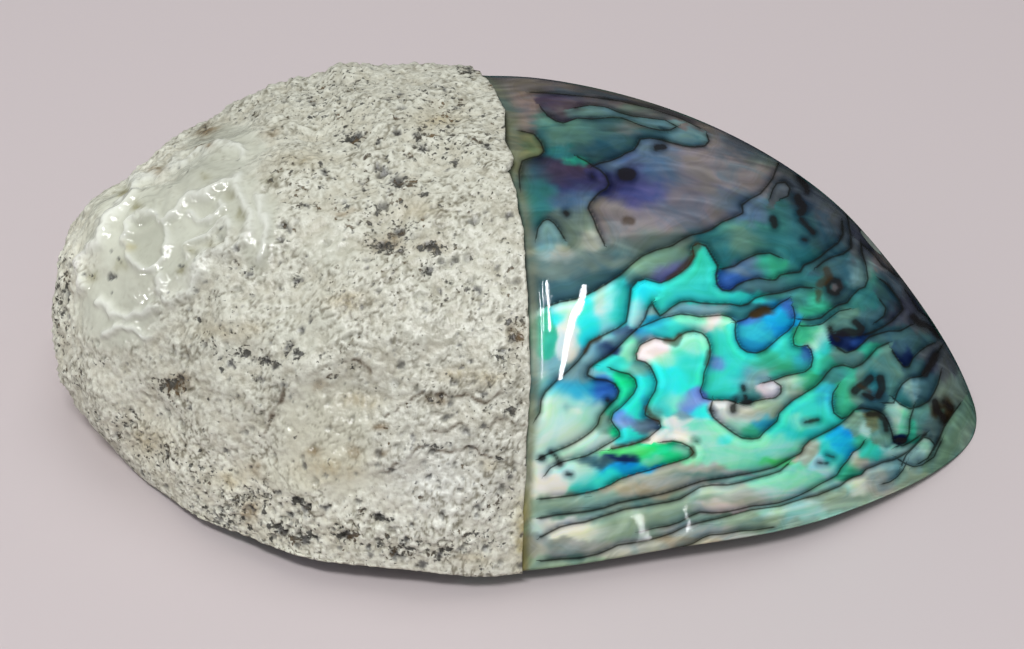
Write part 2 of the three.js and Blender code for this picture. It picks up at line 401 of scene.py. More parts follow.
# Dark specks, partly dark grains and partly painted shade in small pits
CLUSTER_SPECKS = 0.19
PATCH_SPECKS = 0.05
GLAZE_SPECKS = 0.12
SPECK_RANGE = (0.69, 0.79)
BLOT_RANGE = (0.67, 0.77)
RUST_RANGE = (0.5, 0.68)
SPECK_GREY = (64, 64, 60)
RUST = (108, 88, 58)
SPECK_SHARE = 0.92
CRUST_ROUGHNESS = 0.36
GLAZE_GLOSS = 0.26
GRIT_DISTANCE = 0.0006
GRIT_STRENGTH = 0.6

# Sockets of the colour mix node
MIX_SHARE = 0
MIX_FIRST = 6
MIX_SECOND = 7
MIX_RESULT = 2

# Surroundings, in metres and watts
FLOOR_HALF = 3.0
FLOOR_COLOUR = (208, 198, 200)
FLOOR_ROUGHNESS = 0.6
WORLD_COLOUR = (0.96, 0.96, 0.97, 1.0)
WORLD_STRENGTH = 0.4
LIGHT_COLOUR = (1.0, 1.0, 0.99)

# Lights: name, size, power, place, whether the shell mirrors it
LIGHTS = [
    ("overhead", (0.5, 0.35), 1.7, (0.0, 0.3, 0.88), False),
    ("front", (0.5, 0.16), 4.8, (-0.12, -0.37, 0.92), True),
]

# Strip lamps: name, columns searched, ends of the streak in the picture, width in metres, share of power
STREAK_DISTANCE = 420.0
STREAK_RADIANCE = 150.0
SEARCH_ROWS = np.linspace(-0.99, LAST_SEEN_ROW, 300)
NACRE_SEARCH = np.linspace(0.0, 0.6, 400)
CRUST_SEARCH = np.linspace(-0.98, -0.1, 300)
STREAKS = [
    ("streak_edge", NACRE_SEARCH, (547, 281), (550, 330), 0.003, 1.2),
    ("streak_wide", NACRE_SEARCH, (584, 285), (560, 380), 0.009, 1.0),
    ("glint", CRUST_SEARCH, (140, 308), (143, 316), 0.016, 1.0),
    ("streak_low", NACRE_SEARCH, (636, 514), (646, 541), 0.0008, 0.6),
]


def smooth(value, start, end):
    share = np.clip((value - start) / (end - start), 0.0, 1.0)
    return share * share * (3.0 - 2.0 * share)


def falling(value, start, end):
    return 1.0 - smooth(value, start, end)


def mix(first, second, share):
    return first + (second - first) * share


def bell(distance, spread):
    return np.exp(-((distance / spread) ** 2))


def sides_apart(side, other):
    return (side - other + 180.0) % 360.0 - 180.0


def hump(side, middle, spread):
    apart = np.abs(sides_apart(side, middle))
    return np.where(apart < spread, 0.5 + 0.5 * np.cos(np.pi * apart / spread), 0.0)


def rim_at(side):
    stations = RIM_STATIONS * np.array([LENGTH / 2, WIDTH / 2])
    count = len(stations)
    place = (side / 360.0 * count) % count
    index = np.floor(place).astype(int)
    step = (place - index)[..., None]
    before, start, end, after = (stations[(index + ahead) % count] for ahead in (-1, 0, 1, 2))
    straight = (end - before) * step
    square = (2 * before - 5 * start + 4 * end - after) * step ** 2
    cube = (3 * start - before - 3 * end + after) * step ** 3
    return 0.5 * (2 * start + straight + square + cube)


def rim_height(side):
    return sum(height * hump(side, middle, spread) for height, middle, spread in RIM_ARCHES)


def arc_angle(side):
    along = np.cos(np.radians(side))
    across = np.sin(np.radians(side))
    across_angle = np.where(across < 0, ARC_OUTER_LIP, ARC_BACK)
    along_angle = np.where(along < 0, ARC_SPIRE_END, ARC_GROWING_END)
    return np.radians(across_angle * across ** 2 + along_angle * along ** 2)


def swelling(reach, side):
    from_ridge = np.abs(sides_apart(side, RIDGE_SIDE))
    along_back = falling(from_ridge, RIDGE_FULL_SPREAD, RIDGE_SPREAD)
    total = RIDGE_HEIGHT * along_back * bell(reach - RIDGE_REACH, RIDGE_BREADTH)
    for height, middle, spread, at, breadth in SWELLINGS:
        total = total + height * bell(sides_apart(side, middle), spread) * bell(reach - at, breadth)
    return total


def dome_at(reach, side, drawn_in=0.0, lowered=0.0):
    rim = rim_at(side)
    span = np.linalg.norm(rim, axis=-1)
    outward = rim / span[..., None]
    full_arc = arc_angle(side)
    start = CROWN_SPACING * np.sin(full_arc) / full_arc
    arc = full_arc * reach * mix(start, 1.0, reach ** 2)
    rise = (np.cos(arc) - np.cos(full_arc)) / (1.0 - np.cos(full_arc))
    swell = swelling(reach, side)
    foot = rim_height(side)
    lean = SWELLING_LEAN * arc
    distance = (span - drawn_in) * np.sin(arc) / np.sin(full_arc) + swell * np.sin(lean)
    height = foot + (HEIGHT - lowered - foot) * rise + swell * np.cos(lean)
    plan = CROWN * (1.0 - reach ** 2)[..., None] + outward * distance[..., None]
    return np.concatenate([plan, height[..., None]], axis=-1)


def dome_normal(reach, side):
    at = np.clip(reach, 2 * NORMAL_STEP, 1 - NORMAL_STEP)
    down = dome_at(at + NORMAL_STEP, side) - dome_at(at - NORMAL_STEP, side)
    around = dome_at(at, side + 1.0) - dome_at(at, side - 1.0)
    normal = np.cross(down, around)
    return normal / np.linalg.norm(normal, axis=-1, keepdims=True)


def grid_place(column, row):
    bend = sum(shift * bell(row - at, spread) for shift, at, spread in EDGE_BENDS)
    column = column + bend * (1.0 - column ** 2)
    flat_x = column * np.sqrt(1.0 - row ** 2 / 2.0)
    flat_y = row * np.sqrt(1.0 - column ** 2 / 2.0)
    turn = math.radians(GRID_TURN)
    x = flat_x * math.cos(turn) - flat_y * math.sin(turn)
    y = flat_x * math.sin(turn) + flat_y * math.cos(turn)
    x = x + GRID_SHIFT * (1.0 - x * x - y * y)
    return np.minimum(np.hypot(x, y), 1.0), np.degrees(np.arctan2(y, x))


def lumps(point):
    golden = math.pi * (3.0 - math.sqrt(5.0))
    total = 0.0
    for wave in range(LUMP_WAVES):
        climb = 1.0 - 2.0 * (wave + 0.5) / LUMP_WAVES
        level = math.sqrt(1.0 - climb ** 2)
        direction = np.array([level * math.cos(wave * golden), level * math.sin(wave * golden), climb])
        length = mix(LONGEST_LUMP, SHORTEST_LUMP, wave / (LUMP_WAVES - 1))
        height = math.sqrt(length / LONGEST_LUMP)
        total = total + height * np.sin(2 * np.pi * (point @ direction) / length + wave)
    return total / math.sqrt(LUMP_WAVES / 2)


def spire_coil(point):
    away_x = point[..., 0] - SPIRE_X
    away_y = point[..., 1] - SPIRE_Y
    away = np.hypot(away_x, away_y)
    turn = np.arctan2(away_y, away_x) / (2 * np.pi)
    whorls = np.log(np.maximum(away, 1.0) / SPIRE_FIRST_WHORL) / math.log(SPIRE_GROWTH)
    return SPIRE_HEIGHT * np.cos(2 * np.pi * (whorls - turn)) * falling(away, SPIRE_RADIUS / 2, SPIRE_RADIUS)


def broad_relief(point, reach, column):
    relief = LUMP_HEIGHT * lumps(point)
    for x, y, radius, depth in BROAD_PITS:
        relief = relief - depth * bell(np.hypot(point[..., 0] - x, point[..., 1] - y), radius)
    for at, drop in LEDGES:
        relief = relief - drop * (smooth(reach, at - LEDGE_RUN, at) - smooth(reach, at, 1.0))
    relief = CRUST + smooth(-column, 0.0, CALM_EDGE) * relief + spire_coil(point)
    return relief * mix(1.0, CRUST_AT_RIM, smooth(reach, CRUST_THINS_FROM, 1.0))


def camera_axes():
    azimuth = math.radians(CAMERA_AZIMUTH)
    elevation = math.radians(CAMERA_ELEVATION)
    level = math.cos(elevation)
    back = np.array([math.sin(azimuth) * level, -math.cos(azimuth) * level, math.sin(elevation)])
    right = np.array([math.cos(azimuth), math.sin(azimuth), 0.0])
    return back, right, np.cross(back, right)


def picture_place(point):
    back, right, up = camera_axes()
    away = point - CAMERA_AIM
    depth = CAMERA_DISTANCE - away @ back
    x = IMAGE_WIDTH / 2 + FOCAL_PIXELS * (away @ right) / depth
    y = IMAGE_HEIGHT / 2 - FOCAL_PIXELS * (away @ up) / depth
    return np.stack([x, y], axis=-1)


# Distance from places in the picture to a drawn line, the same with a plus on the line's left,
# how far along the line the nearest point is, and the line's length
def from_line(places, line):
    points = np.array(line, float)
    best = np.full(len(places), np.inf)
    signed = np.zeros(len(places))
    along = np.zeros(len(places))
    lengths = np.linalg.norm(np.diff(points, axis=0), axis=1)
    travelled = np.concatenate([[0.0], np.cumsum(lengths)])
    for index in range(len(points) - 1):
        start = points[index]
        run = points[index + 1] - start
        offset = places - start
        share = np.clip(offset @ run / (run @ run), 0.0, 1.0)
        gap = offset - share[:, None] * run
        distance = np.hypot(gap[:, 0], gap[:, 1])
        nearer = distance < best
        side = run[0] * offset[:, 1] - run[1] * offset[:, 0]
        best = np.where(nearer, distance, best)
        signed = np.where(nearer, np.where(side < 0, distance, -distance), signed)
        along = np.where(nearer, travelled[index] + share * lengths[index], along)
    return best, signed, along, travelled[-1]


def noise_field(points, size, octaves):
    places = (points / size).tolist()
    return np.array([noise.fractal(place, NOISE_FALL, NOISE_STEP, octaves) for place in places])


def linear(colour):
    value = np.asarray(colour, float) / 255.0
    return np.where(value <= 0.04045, value / 12.92, ((value + 0.055) / 1.055) ** 2.4)


# Points of a drawn line, written as x,y pairs in pixels of the picture
def drawn(text):
    return [tuple(float(number) for number in pair.split(",")) for pair in text.split()]


# Colours of the nacre, as they show under the light of the picture
COLOURS = {
    "slate": (84, 92, 102),
    "plum": (74, 64, 86),
    "rose_grey": (146, 130, 126),
    "lilac": (130, 124, 134),
    "taupe": (138, 130, 132),
    "steel": (90, 116, 146),
    "indigo": (58, 60, 106),
    "violet": (92, 92, 148),
    "deep_teal": (62, 98, 110),
    "teal": (56, 122, 126),
    "sea_green": (92, 136, 130),
    "olive": (112, 116, 84),
    "turquoise": (52, 200, 190),
    "cyan": (44, 222, 236),
    "ice": (170, 238, 236),
    "emerald": (30, 222, 148),
    "leaf": (84, 206, 124),
    "mint": (132, 220, 186),
    "azure": (24, 158, 240),
    "blue": (58, 104, 186),
    "navy": (26, 42, 88),
    "pearl": (220, 224, 212),
    "blush": (226, 206, 212),
    "silver_green": (140, 166, 150),
    "silver": (166, 172, 166),
    "brown": (64, 50, 34),
    "periwinkle": (110, 138, 204),
    "sand": (172, 166, 146),
    "jade": (56, 172, 142),
    "mist": (118, 158, 166),
    "ocean": (46, 164, 196),
    "ash": (104, 124, 122),
    "sage": (110, 148, 134),
    "stone": (130, 124, 126),
    "foam": (178, 214, 204),
    "night": (66, 70, 86),
    "opal": (160, 208, 198),
}

# Soft fields of colour on the polished half: x, y and half sizes in the picture, by colour
# The grey, slate, lilac and dark fields of the upper part carry a painted reflection of the room along with
# the nacre's own colour
FIELDS = {
    "stone": [
        (548, 112, 18, 5), (660, 112, 24, 4), (628, 128, 14, 5), (515, 84, 30, 9), (565, 89, 50, 8),
        (625, 96, 40, 8), (690, 120, 26, 10), (882, 258, 6, 7), (834, 287, 3, 3),
    ],
    "taupe": [
        (600, 102, 30, 4), (730, 168, 28, 16), (762, 178, 12, 12), (608, 216, 14, 12), (630, 231, 24, 8),
    ],
    "rose_grey": [(524, 128, 6, 10), (522, 103, 13, 9)],
    "ice": [
        (612, 330, 8, 10), (560, 470, 10, 4), (612, 300, 6, 10), (564, 308, 12, 6), (640, 310, 6, 12),
        (606, 338, 8, 4), (822, 464, 7, 5),
    ],
    # The pearl fields by 570,326 and 566,338 are in part a painted highlight beside the broad streak
    "pearl": [
        (566, 338, 6, 10), (576, 411, 5, 3.5), (570, 326, 7, 14), (550, 480, 10, 7), (670, 436, 18, 4),
        (676, 420, 12, 3), (722, 412, 8, 7), (855, 486, 9, 6), (578, 528, 22, 5),
    ],
    "opal": [
        (720, 492, 22, 4), (842, 486, 14, 5), (566, 402, 16, 10), (582, 418, 14, 10), (576, 456, 18, 4),
        (736, 424, 9, 8), (780, 490, 22, 6), (800, 511, 26, 6), (816, 340, 6, 8), (798, 386, 6, 5),
        (897, 412, 4, 10), (926, 448, 8, 8), (890, 450, 7, 5),
    ],
    "mint": [
        (780, 484, 26, 4), (692, 322, 14, 5), (726, 324, 6, 6), (630, 352, 7, 9), (668, 362, 10, 6),
        (690, 344, 12, 9), (672, 399, 9, 7), (682, 452, 6, 5), (655, 460, 8, 3), (712, 440, 16, 8),
        (706, 428, 9, 6), (758, 449, 28, 7), (722, 459, 22, 4), (752, 466, 18, 2.5), (770, 441, 16, 5),
        (800, 476, 9, 6), (800, 424, 10, 5), (904, 424, 4, 8),
    ],
    "slate": [
        (752, 150, 20, 10), (786, 186, 14, 14), (802, 188, 12, 10), (826, 205, 14, 12), (836, 226, 10, 12),
        (862, 256, 6, 8), (900, 286, 8, 10), (924, 322, 9, 10), (934, 352, 7, 8), (944, 372, 6, 8),
    ],
    "plum": [(560, 108, 22, 10), (562, 174, 22, 10)],
    "mist": [
        (596, 112, 20, 4), (648, 124, 24, 3), (690, 138, 16, 5), (548, 236, 9, 12), (692, 309, 28, 3),
        (612, 340, 18, 4), (594, 352, 12, 5), (574, 374, 14, 8), (684, 416, 8, 4), (568, 406, 4, 4),
        (760, 378, 16, 10), (890, 470, 12, 7), (860, 272, 8, 9), (908, 388, 10, 6), (912, 456, 9, 6),
    ],
    "ash": [
        (642, 109, 22, 5), (764, 158, 12, 8), (655, 240, 38, 7), (572, 224, 14, 12), (560, 268, 28, 7),
        (606, 258, 26, 8), (930, 428, 8, 9), (940, 392, 8, 9), (954, 392, 8, 10),
    ],
    "sea_green": [
        (576, 133, 26, 8), (552, 120, 14, 6), (656, 412, 6, 6), (702, 475, 18, 3), (845, 321, 9, 8),
        (846, 358, 10, 5), (860, 392, 8, 8), (884, 362, 9, 8), (892, 378, 8, 8), (918, 416, 8, 9),
        (882, 432, 6, 8),
    ],
    "deep_teal": [
        (612, 128, 20, 9), (645, 134, 18, 5), (605, 148, 22, 8), (556, 292, 30, 8), (602, 276, 22, 6),
        (764, 287, 28, 5), (600, 462, 10, 4), (792, 218, 12, 12), (815, 240, 16, 8), (826, 262, 12, 6),
        (842, 268, 10, 8), (884, 300, 10, 12), (876, 318, 14, 6), (838, 298, 10, 5), (872, 337, 14, 4),
        (898, 334, 10, 4), (868, 398, 8, 5), (903, 347, 4, 5), (920, 342, 8, 8), (914, 370, 8, 6),
        (926, 386, 8, 8),
    ],
    "teal": [
        (566, 151, 14, 4), (538, 190, 12, 14), (530, 205, 9, 10), (792, 218, 14, 14), (772, 236, 22, 12),
        (722, 240, 14, 12), (792, 262, 14, 7), (742, 311, 9, 4), (792, 298, 14, 6), (746, 395, 9, 4),
        (800, 250, 12, 6), (866, 296, 12, 10), (800, 284, 14, 4), (796, 298, 10, 5), (826, 318, 12, 4),
        (834, 374, 8, 5), (873, 382, 4, 6), (900, 396, 5, 6),
    ],
    "jade": [
        (580, 159, 12, 3), (770, 267, 11, 6), (548, 322, 4, 14), (612, 406, 5, 6), (750, 432, 9, 5),
        (778, 364, 18, 7), (850, 470, 6, 8), (814, 304, 10, 6), (806, 333, 8, 6), (826, 362, 9, 5),
        (812, 384, 9, 5), (843, 390, 6, 12), (846, 408, 7, 6), (872, 352, 7, 6), (912, 432, 5, 6),
        (862, 444, 6, 6),
    ],
    "olive": [(527, 146, 13, 9), (516, 138, 9, 14), (874, 426, 4, 7)],
    "indigo": [(578, 184, 18, 8), (628, 178, 18, 14)],
    "steel": [
        (575, 197, 20, 7), (616, 166, 12, 8), (655, 168, 18, 16), (734, 200, 18, 8), (755, 216, 12, 7),
        (750, 269, 12, 6), (628, 334, 10, 5), (642, 425, 9, 5),
    ],
    "violet": [(645, 190, 18, 12), (668, 274, 14, 8)],
    "lilac": [(690, 165, 24, 16), (700, 195, 28, 14), (676, 214, 28, 12)],
    "silver": [
        (592, 240, 9, 7), (556, 256, 14, 5), (660, 481, 32, 5), (702, 470, 22, 5), (746, 415, 12, 5),
        (870, 476, 12, 6), (882, 486, 14, 5), (560, 546, 22, 4), (640, 546, 26, 4), (740, 494, 22, 6),
        (700, 530, 22, 4), (856, 462, 7, 5),
    ],
    "sage": [
        (742, 238, 18, 10), (648, 264, 20, 10), (646, 368, 9, 5), (605, 426, 5, 8), (962, 418, 9, 14),
        (950, 436, 8, 10), (942, 409, 3, 3), (938, 458, 8, 8), (856, 424, 6, 5),
    ],
    "cyan": [
        (645, 288, 16, 6), (590, 308, 5, 12), (588, 326, 12, 11), (556, 316, 6, 6), (646, 296, 9, 8),
        (676, 384, 9, 12), (664, 376, 7, 10), (698, 413, 7, 5), (645, 385, 7, 14), (632, 406, 9, 10),
        (630, 436, 10, 4), (612, 474, 9, 4), (725, 441, 5, 4),
    ],
    "turquoise": [
        (690, 286, 22, 10), (706, 264, 9, 10), (702, 295, 18, 5), (742, 297, 12, 4), (618, 308, 7, 16),
        (668, 296, 14, 8), (670, 328, 14, 5), (618, 364, 12, 4), (692, 364, 12, 12), (660, 400, 10, 12),
        (600, 480, 18, 7), (736, 365, 12, 12), (722, 340, 7, 12), (724, 386, 10, 8), (790, 350, 9, 7),
        (790, 430, 18, 8), (820, 356, 6, 10), (806, 404, 16, 8), (826, 416, 12, 6), (812, 432, 8, 4),
        (874, 452, 8, 4), (830, 456, 8, 7),
    ],
    "blue": [
        (728, 282, 11, 6), (602, 390, 9, 7), (748, 321, 8, 4), (788, 307, 5, 6), (856, 341, 6, 3),
        (808, 355, 4, 6),
    ],
    "foam": [
        (600, 306, 8, 12), (560, 432, 18, 12), (592, 442, 14, 5), (548, 410, 7, 18), (604, 441, 16, 4),
        (578, 474, 14, 6), (866, 432, 4, 6),
    ],
    "navy": [(612, 350, 12, 5), (621, 458, 11, 2.5), (850, 340, 10, 5), (904, 356, 5, 8), (900, 440, 6, 3)],
    "ocean": [
        (652, 325, 12, 6), (646, 405, 4, 10), (578, 389, 18, 7), (762, 424, 7, 5), (755, 336, 15, 11),
        (800, 360, 7, 6), (826, 400, 8, 8),
    ],
    "blush": [(712, 322, 8, 5), (652, 350, 12, 8), (770, 388, 7, 7), (718, 506, 16, 4)],
    "periwinkle": [(690, 403, 9, 7), (626, 420, 7, 6), (720, 361, 5, 6)],
    "emerald": [(627, 386, 7, 12), (614, 431, 5, 6), (664, 455, 16, 6)],
    "leaf": [(636, 452, 18, 3), (778, 462, 10, 3)],
    "azure": [(628, 469, 16, 4), (780, 320, 11, 10), (842, 446, 7, 8)],
    "silver_green": [
        (560, 506, 24, 5), (604, 499, 26, 5), (766, 405, 9, 5), (790, 390, 9, 7), (906, 481, 12, 7),
        (622, 526, 22, 7), (660, 515, 28, 5), (700, 500, 22, 7), (750, 521, 36, 5), (840, 500, 18, 7),
        (560, 559, 20, 3), (968, 436, 8, 10),
    ],
    "sand": [(640, 490, 28, 4), (682, 541, 14, 3), (806, 452, 7, 7)],
    "brown": [(761, 312, 9, 4), (943, 408, 7, 10)],
    "night": [(803, 206, 10, 12), (866, 240, 7, 10), (894, 312, 6, 8), (910, 304, 8, 10), (930, 366, 5, 8)],
}

# Growth lines of the polished half: half width, then the points
GROWTH_LINES = [
    (1.5, drawn("548,306 560,302 576,299 586,295 596,290 606,284 620,275 632,264 642,256 656,250 "
                "672,246 681,240 691,235 702,233 712,229 722,222 735,217 743,213 742,205 750,199 "
                "760,194 767,186 773,178 778,164")),
    (1.2, drawn("536,238 538,228 543,221 548,219 554,223 560,231 564,238")),
    (1.5, drawn("578,157 586,161 593,166 600,170 606,176 609,184 606,189 600,192 595,197 590,203 "
                "588,208 591,214 594,220 597,229 601,237 604,243")),
    (1.4, drawn("593,166 600,163 610,161 620,157 626,153 634,150 638,144 640,139 650,138 662,140 "
                "672,143 684,146 695,147 705,146 709,141 707,135")),
    (1.3, drawn("521,131 534,134 541,143 544,151 540,156 530,158 522,161 519,172 520,188")),
    (1.1, drawn("541,108 548,116 556,121 563,123 569,121 577,118 592,119 604,118 613,117 622,118 "
                "630,121 640,125 650,128 660,130 670,130 676,127")),
    (1.0, drawn("574,108 590,105 606,107 618,112 632,116 648,118 665,120 676,126")),
    (0.9, drawn("530,92 560,94 590,97 620,101 650,108 680,118 700,128")),
    (1.5, drawn("535,420 540,412 541,400 545,392 556,381 568,371 578,361 585,352 590,342 598,338 "
                "608,333 618,328 626,322 628,312 630,298 631,288 637,281 645,279 652,281 660,283 "
                "668,280 680,273 688,266 694,256 692,247 698,243 706,246 712,256 718,266 716,276 "
                "717,284 722,290 730,291 737,285 745,281 758,278 768,280 776,280 780,275 790,273 "
                "800,272 804,265 812,262 820,257 828,250 838,243 843,234 842,222")),
    (1.2, drawn("722,269 735,266 740,262 750,257 757,254 770,253 779,257")),
    (1.5, drawn("540,458 546,455 556,451 566,447 576,442 584,437 592,431 598,424 600,416 605,410 "
                "611,403 617,398 619,391 615,384 606,380 595,379 587,375 589,368 597,362 606,357 "
                "614,351 622,343 630,335 639,327 645,318 648,308 652,303 655,309 660,316 666,312 "
                "672,307 680,302 690,301 700,303 715,304 730,304 740,306 748,304 755,298 765,295 "
                "780,293 790,290 800,287 812,288")),
    (1.2, drawn("545,475 550,468 562,462 574,459 586,456 596,451 604,446 613,441 620,436 619,431 "
                "614,425 611,420 613,413 620,408 627,401 634,393 637,386 635,379 629,374 620,372 "
                "611,369")),
    (1.3, drawn("612,449 620,447 630,445 640,442 648,438 655,432 661,427 659,421 652,419 645,415 "
                "646,408 650,399 655,391 657,382 654,374 650,366 645,362 637,360 636,354 640,345 "
                "648,341 655,338 665,340 674,341 679,336 686,332 694,331 702,333 707,338 710,346 "
                "710,356 708,363 704,373 703,383 700,391 703,398 712,400 728,400 735,402")),
    (1.2, drawn("640,327 650,323 662,318 672,316 680,314 690,315 700,317 712,316 722,315 730,317 "
                "736,322 735,330 736,339 740,347 747,352 757,353 765,350 773,343 781,336 788,331 "
                "794,324 795,316 793,307")),
    (1.3, drawn("736,322 746,319 752,313 758,309 766,309 773,309 780,303 788,299")),
    (1.2, drawn("763,383 775,380 785,376 795,374 805,372 811,367 813,358 811,350 807,345 800,347 "
                "794,345 793,338 797,328 800,323")),
    (1.2, drawn("740,403 747,404 755,401 765,399 775,398 781,393 781,386 775,382")),
    (1.5, drawn("712,402 710,410 713,417 720,423 728,429 735,434 742,438 752,439 759,438 764,432 "
                "770,427 777,421 779,413 785,407 793,400 800,396 808,391 816,386 822,380 827,373 "
                "833,367 843,365 853,368 862,364 869,357 877,348 888,343")),
    (1.4, drawn("600,489 610,485 620,479 635,474 650,470 662,466 676,462 688,458 694,453 690,447 "
                "682,443 672,441 662,442")),
    (1.2, drawn("541,499 560,497 575,495 590,492 600,489")),
    (1.5, drawn("541,518 556,515 575,513 590,511 604,508 618,503 632,500 648,497 662,494 676,490 "
                "690,485 702,481 716,479 730,477 745,474 760,471 775,467 784,462 793,457 801,453 "
                "804,446 810,440 820,435 830,430 840,424 848,417 854,411")),
    (1.5, drawn("541,537 550,532 560,527 572,524 585,522 600,517 613,513 625,509 640,507 655,504 "
                "668,502 680,499 690,493 700,487 712,485 728,485 742,482 756,478 768,475 780,471 "
                "788,464")),
    (1.3, drawn("640,532 655,528 668,526 680,522 690,516 700,512 712,513 726,512 740,509 752,506 "
                "764,505 778,503 790,499 800,495 810,490 820,484 830,479 837,475 841,468 848,460 "
                "853,452 860,448 864,442")),
    (1.5, drawn("541,561 560,559 580,558 598,554 610,549 618,545 632,543 648,540 660,537 672,533 "
                "684,527 694,524 706,521 720,518 735,514 750,510 765,508 780,506 792,502 805,498 "
                "818,495 830,490 840,486 846,481 853,477 861,475 866,469 874,466 883,462 893,460 "
                "901,456 909,451 918,442 926,434")),
    (1.2, drawn("668,550 682,547 694,543 702,538 710,535 724,534 740,531 756,530 774,527")),
    (1.2, drawn("898,459 906,464 914,467 922,465 928,461 934,457 937,450 941,442")),
    (1.0, drawn("882,484 890,482 897,477 903,470 906,464")),
    (1.4, drawn("817,267 823,262 832,257 843,254 851,248 851,238 849,226 847,214")),
    (1.4, drawn("797,319 810,320 821,318 829,311 838,305 847,303 852,296 859,289 865,287 868,279 "
                "866,265 862,253 861,243")),
    (1.3, drawn("861,243 870,251 876,257 882,265 890,271 898,277")),
    (1.3, drawn("884,403 894,403 897,393 902,384 910,378 922,376 930,366 935,356 942,346")),
    (1.2, drawn("896,447 904,443 909,433 910,419 914,407")),
    (1.1, drawn("902,464 906,455 914,447 924,437 930,439 935,445 928,458 918,464")),
    (1.1, drawn("880,300 886,308 884,316 876,322")),
    (1.0, drawn("905,290 912,300 918,310 928,318 938,332")),
    (1.1, drawn("800,326 812,326 822,324 831,317 839,311 850,309")),
    (1.4, drawn("864,335 873,332 883,327 892,321 898,315 903,309 900,301 894,293 888,285 880,279")),
    (1.3, drawn("838,348 846,353 855,350 863,343 869,337 878,334 889,331 900,331 911,325")),
    (1.3, drawn("893,352 898,360 904,367 909,367 913,358 920,351 927,346 934,343")),
    (1.3, drawn("838,386 833,393 832,403 834,413 842,419 849,416 854,410 862,408 875,410 884,415 "
                "889,424 892,433 894,442 902,446 909,443 918,437")),
    (1.3, drawn("893,398 900,404 910,409 920,406 929,401 934,393 938,384 941,372")),
    (1.3, drawn("929,456 935,447 940,437 944,427 952,415 960,404")),
    (1.1, drawn("770,198 773,189 777,183 785,182 790,188 788,196 781,199")),
]

# Dark and brown marks of the polished half: half width, then the points
DARK_MARKS = [
    (6.2, drawn("624,174 630,175")),
    (3.4, drawn("656,148 663,147")),
    (2.2, drawn("565,212 567,214")),
    (1.4, drawn("592,175 593,177")),
    (3.8, drawn("797,198 801,204 804,209 800,213")),
    (2.6, drawn("801,219 808,227 813,232")),
    (3.4, drawn("800,177 804,184 807,191")),
    (3.0, drawn("773,219 775,226")),
    (1.4, drawn("803,239 806,240")),
    (2.8, drawn("828,285 831,280 838,281 841,288 836,294 829,291 828,285")),
    (3.0, drawn("913,317 917,321 926,326")),
    (2.6, drawn("928,327 934,332 939,337")),
    (2.8, drawn("935,402 937,411 943,418")),
    (2.4, drawn("944,401 950,407")),
    (3.8, drawn("936,355 931,364 925,374")),
    (2.6, drawn("607,400 609,402")),
    (3.6, drawn("733,407 733,410")),
    (1.6, drawn("736,399 735,404")),
    (2.4, drawn("744,402 750,402")),
    (1.8, drawn("743,387 744,390")),
    (1.4, drawn("745,396 746,398")),
    (2.2, drawn("541,458 543,458")),
    (1.4, drawn("551,452 556,456 560,463")),
    (2.6, drawn("559,463 560,464")),
    (1.5, drawn("567,474 571,475")),
    (1.3, drawn("694,440 697,441")),
    (1.8, drawn("711,409 713,411")),
    (1.7, drawn("819,463 827,463")),
    (1.7, drawn("827,455 833,457")),
    (1.8, drawn("805,422 818,420")),
    (3.2, drawn("855,322 862,328 858,333 848,332 838,333")),
    (2.8, drawn("830,328 834,336 838,340")),
    (4.2, drawn("855,390 862,386 870,379")),
    (3.8, drawn("878,396 882,388 880,379")),
    (2.8, drawn("864,394 872,398")),
    (2.6, drawn("868,414 878,414 885,420 886,430")),
    (2.2, drawn("897,440 904,441")),
]
BROWN_MARKS = [
    (4.6, drawn("626,220 631,221")),
    (3.4, drawn("697,246 693,256 688,264 680,270")),
    (2.2, drawn("680,270 668,278")),
    (4.2, drawn("754,314 766,311")),
    (2.6, drawn("709,352 706,364")),
    (2.4, drawn("646,408 650,415 658,421")),
    (2.6, drawn("692,448 693,455")),
    (1.6, drawn("612,447 630,444 648,439")),
    (3.8, drawn("826,270 829,276 820,285")),
    (3.4, drawn("819,292 818,300")),
    (3.0, drawn("666,340 676,343 680,336")),
    (1.8, drawn("585,352 590,343 600,338")),
    (2.0, drawn("860,386 870,392")),
]

# Glazed patches of the crust: x, y, half sizes, strength
GLAZE = [
    (150, 235, 66, 60, 1.0), (118, 305, 42, 46, 1.0), (215, 195, 50, 48, 1.0), (225, 145, 40, 22, 0.9),
    (258, 228, 20, 45, 0.9), (322, 430, 48, 48, 0.55), (300, 470, 34, 26, 0.5), (348, 470, 30, 28, 0.5),
    (330, 250, 30, 20, 0.35), (310, 330, 40, 20, 0.3), (440, 330, 40, 16, 0.25),
]

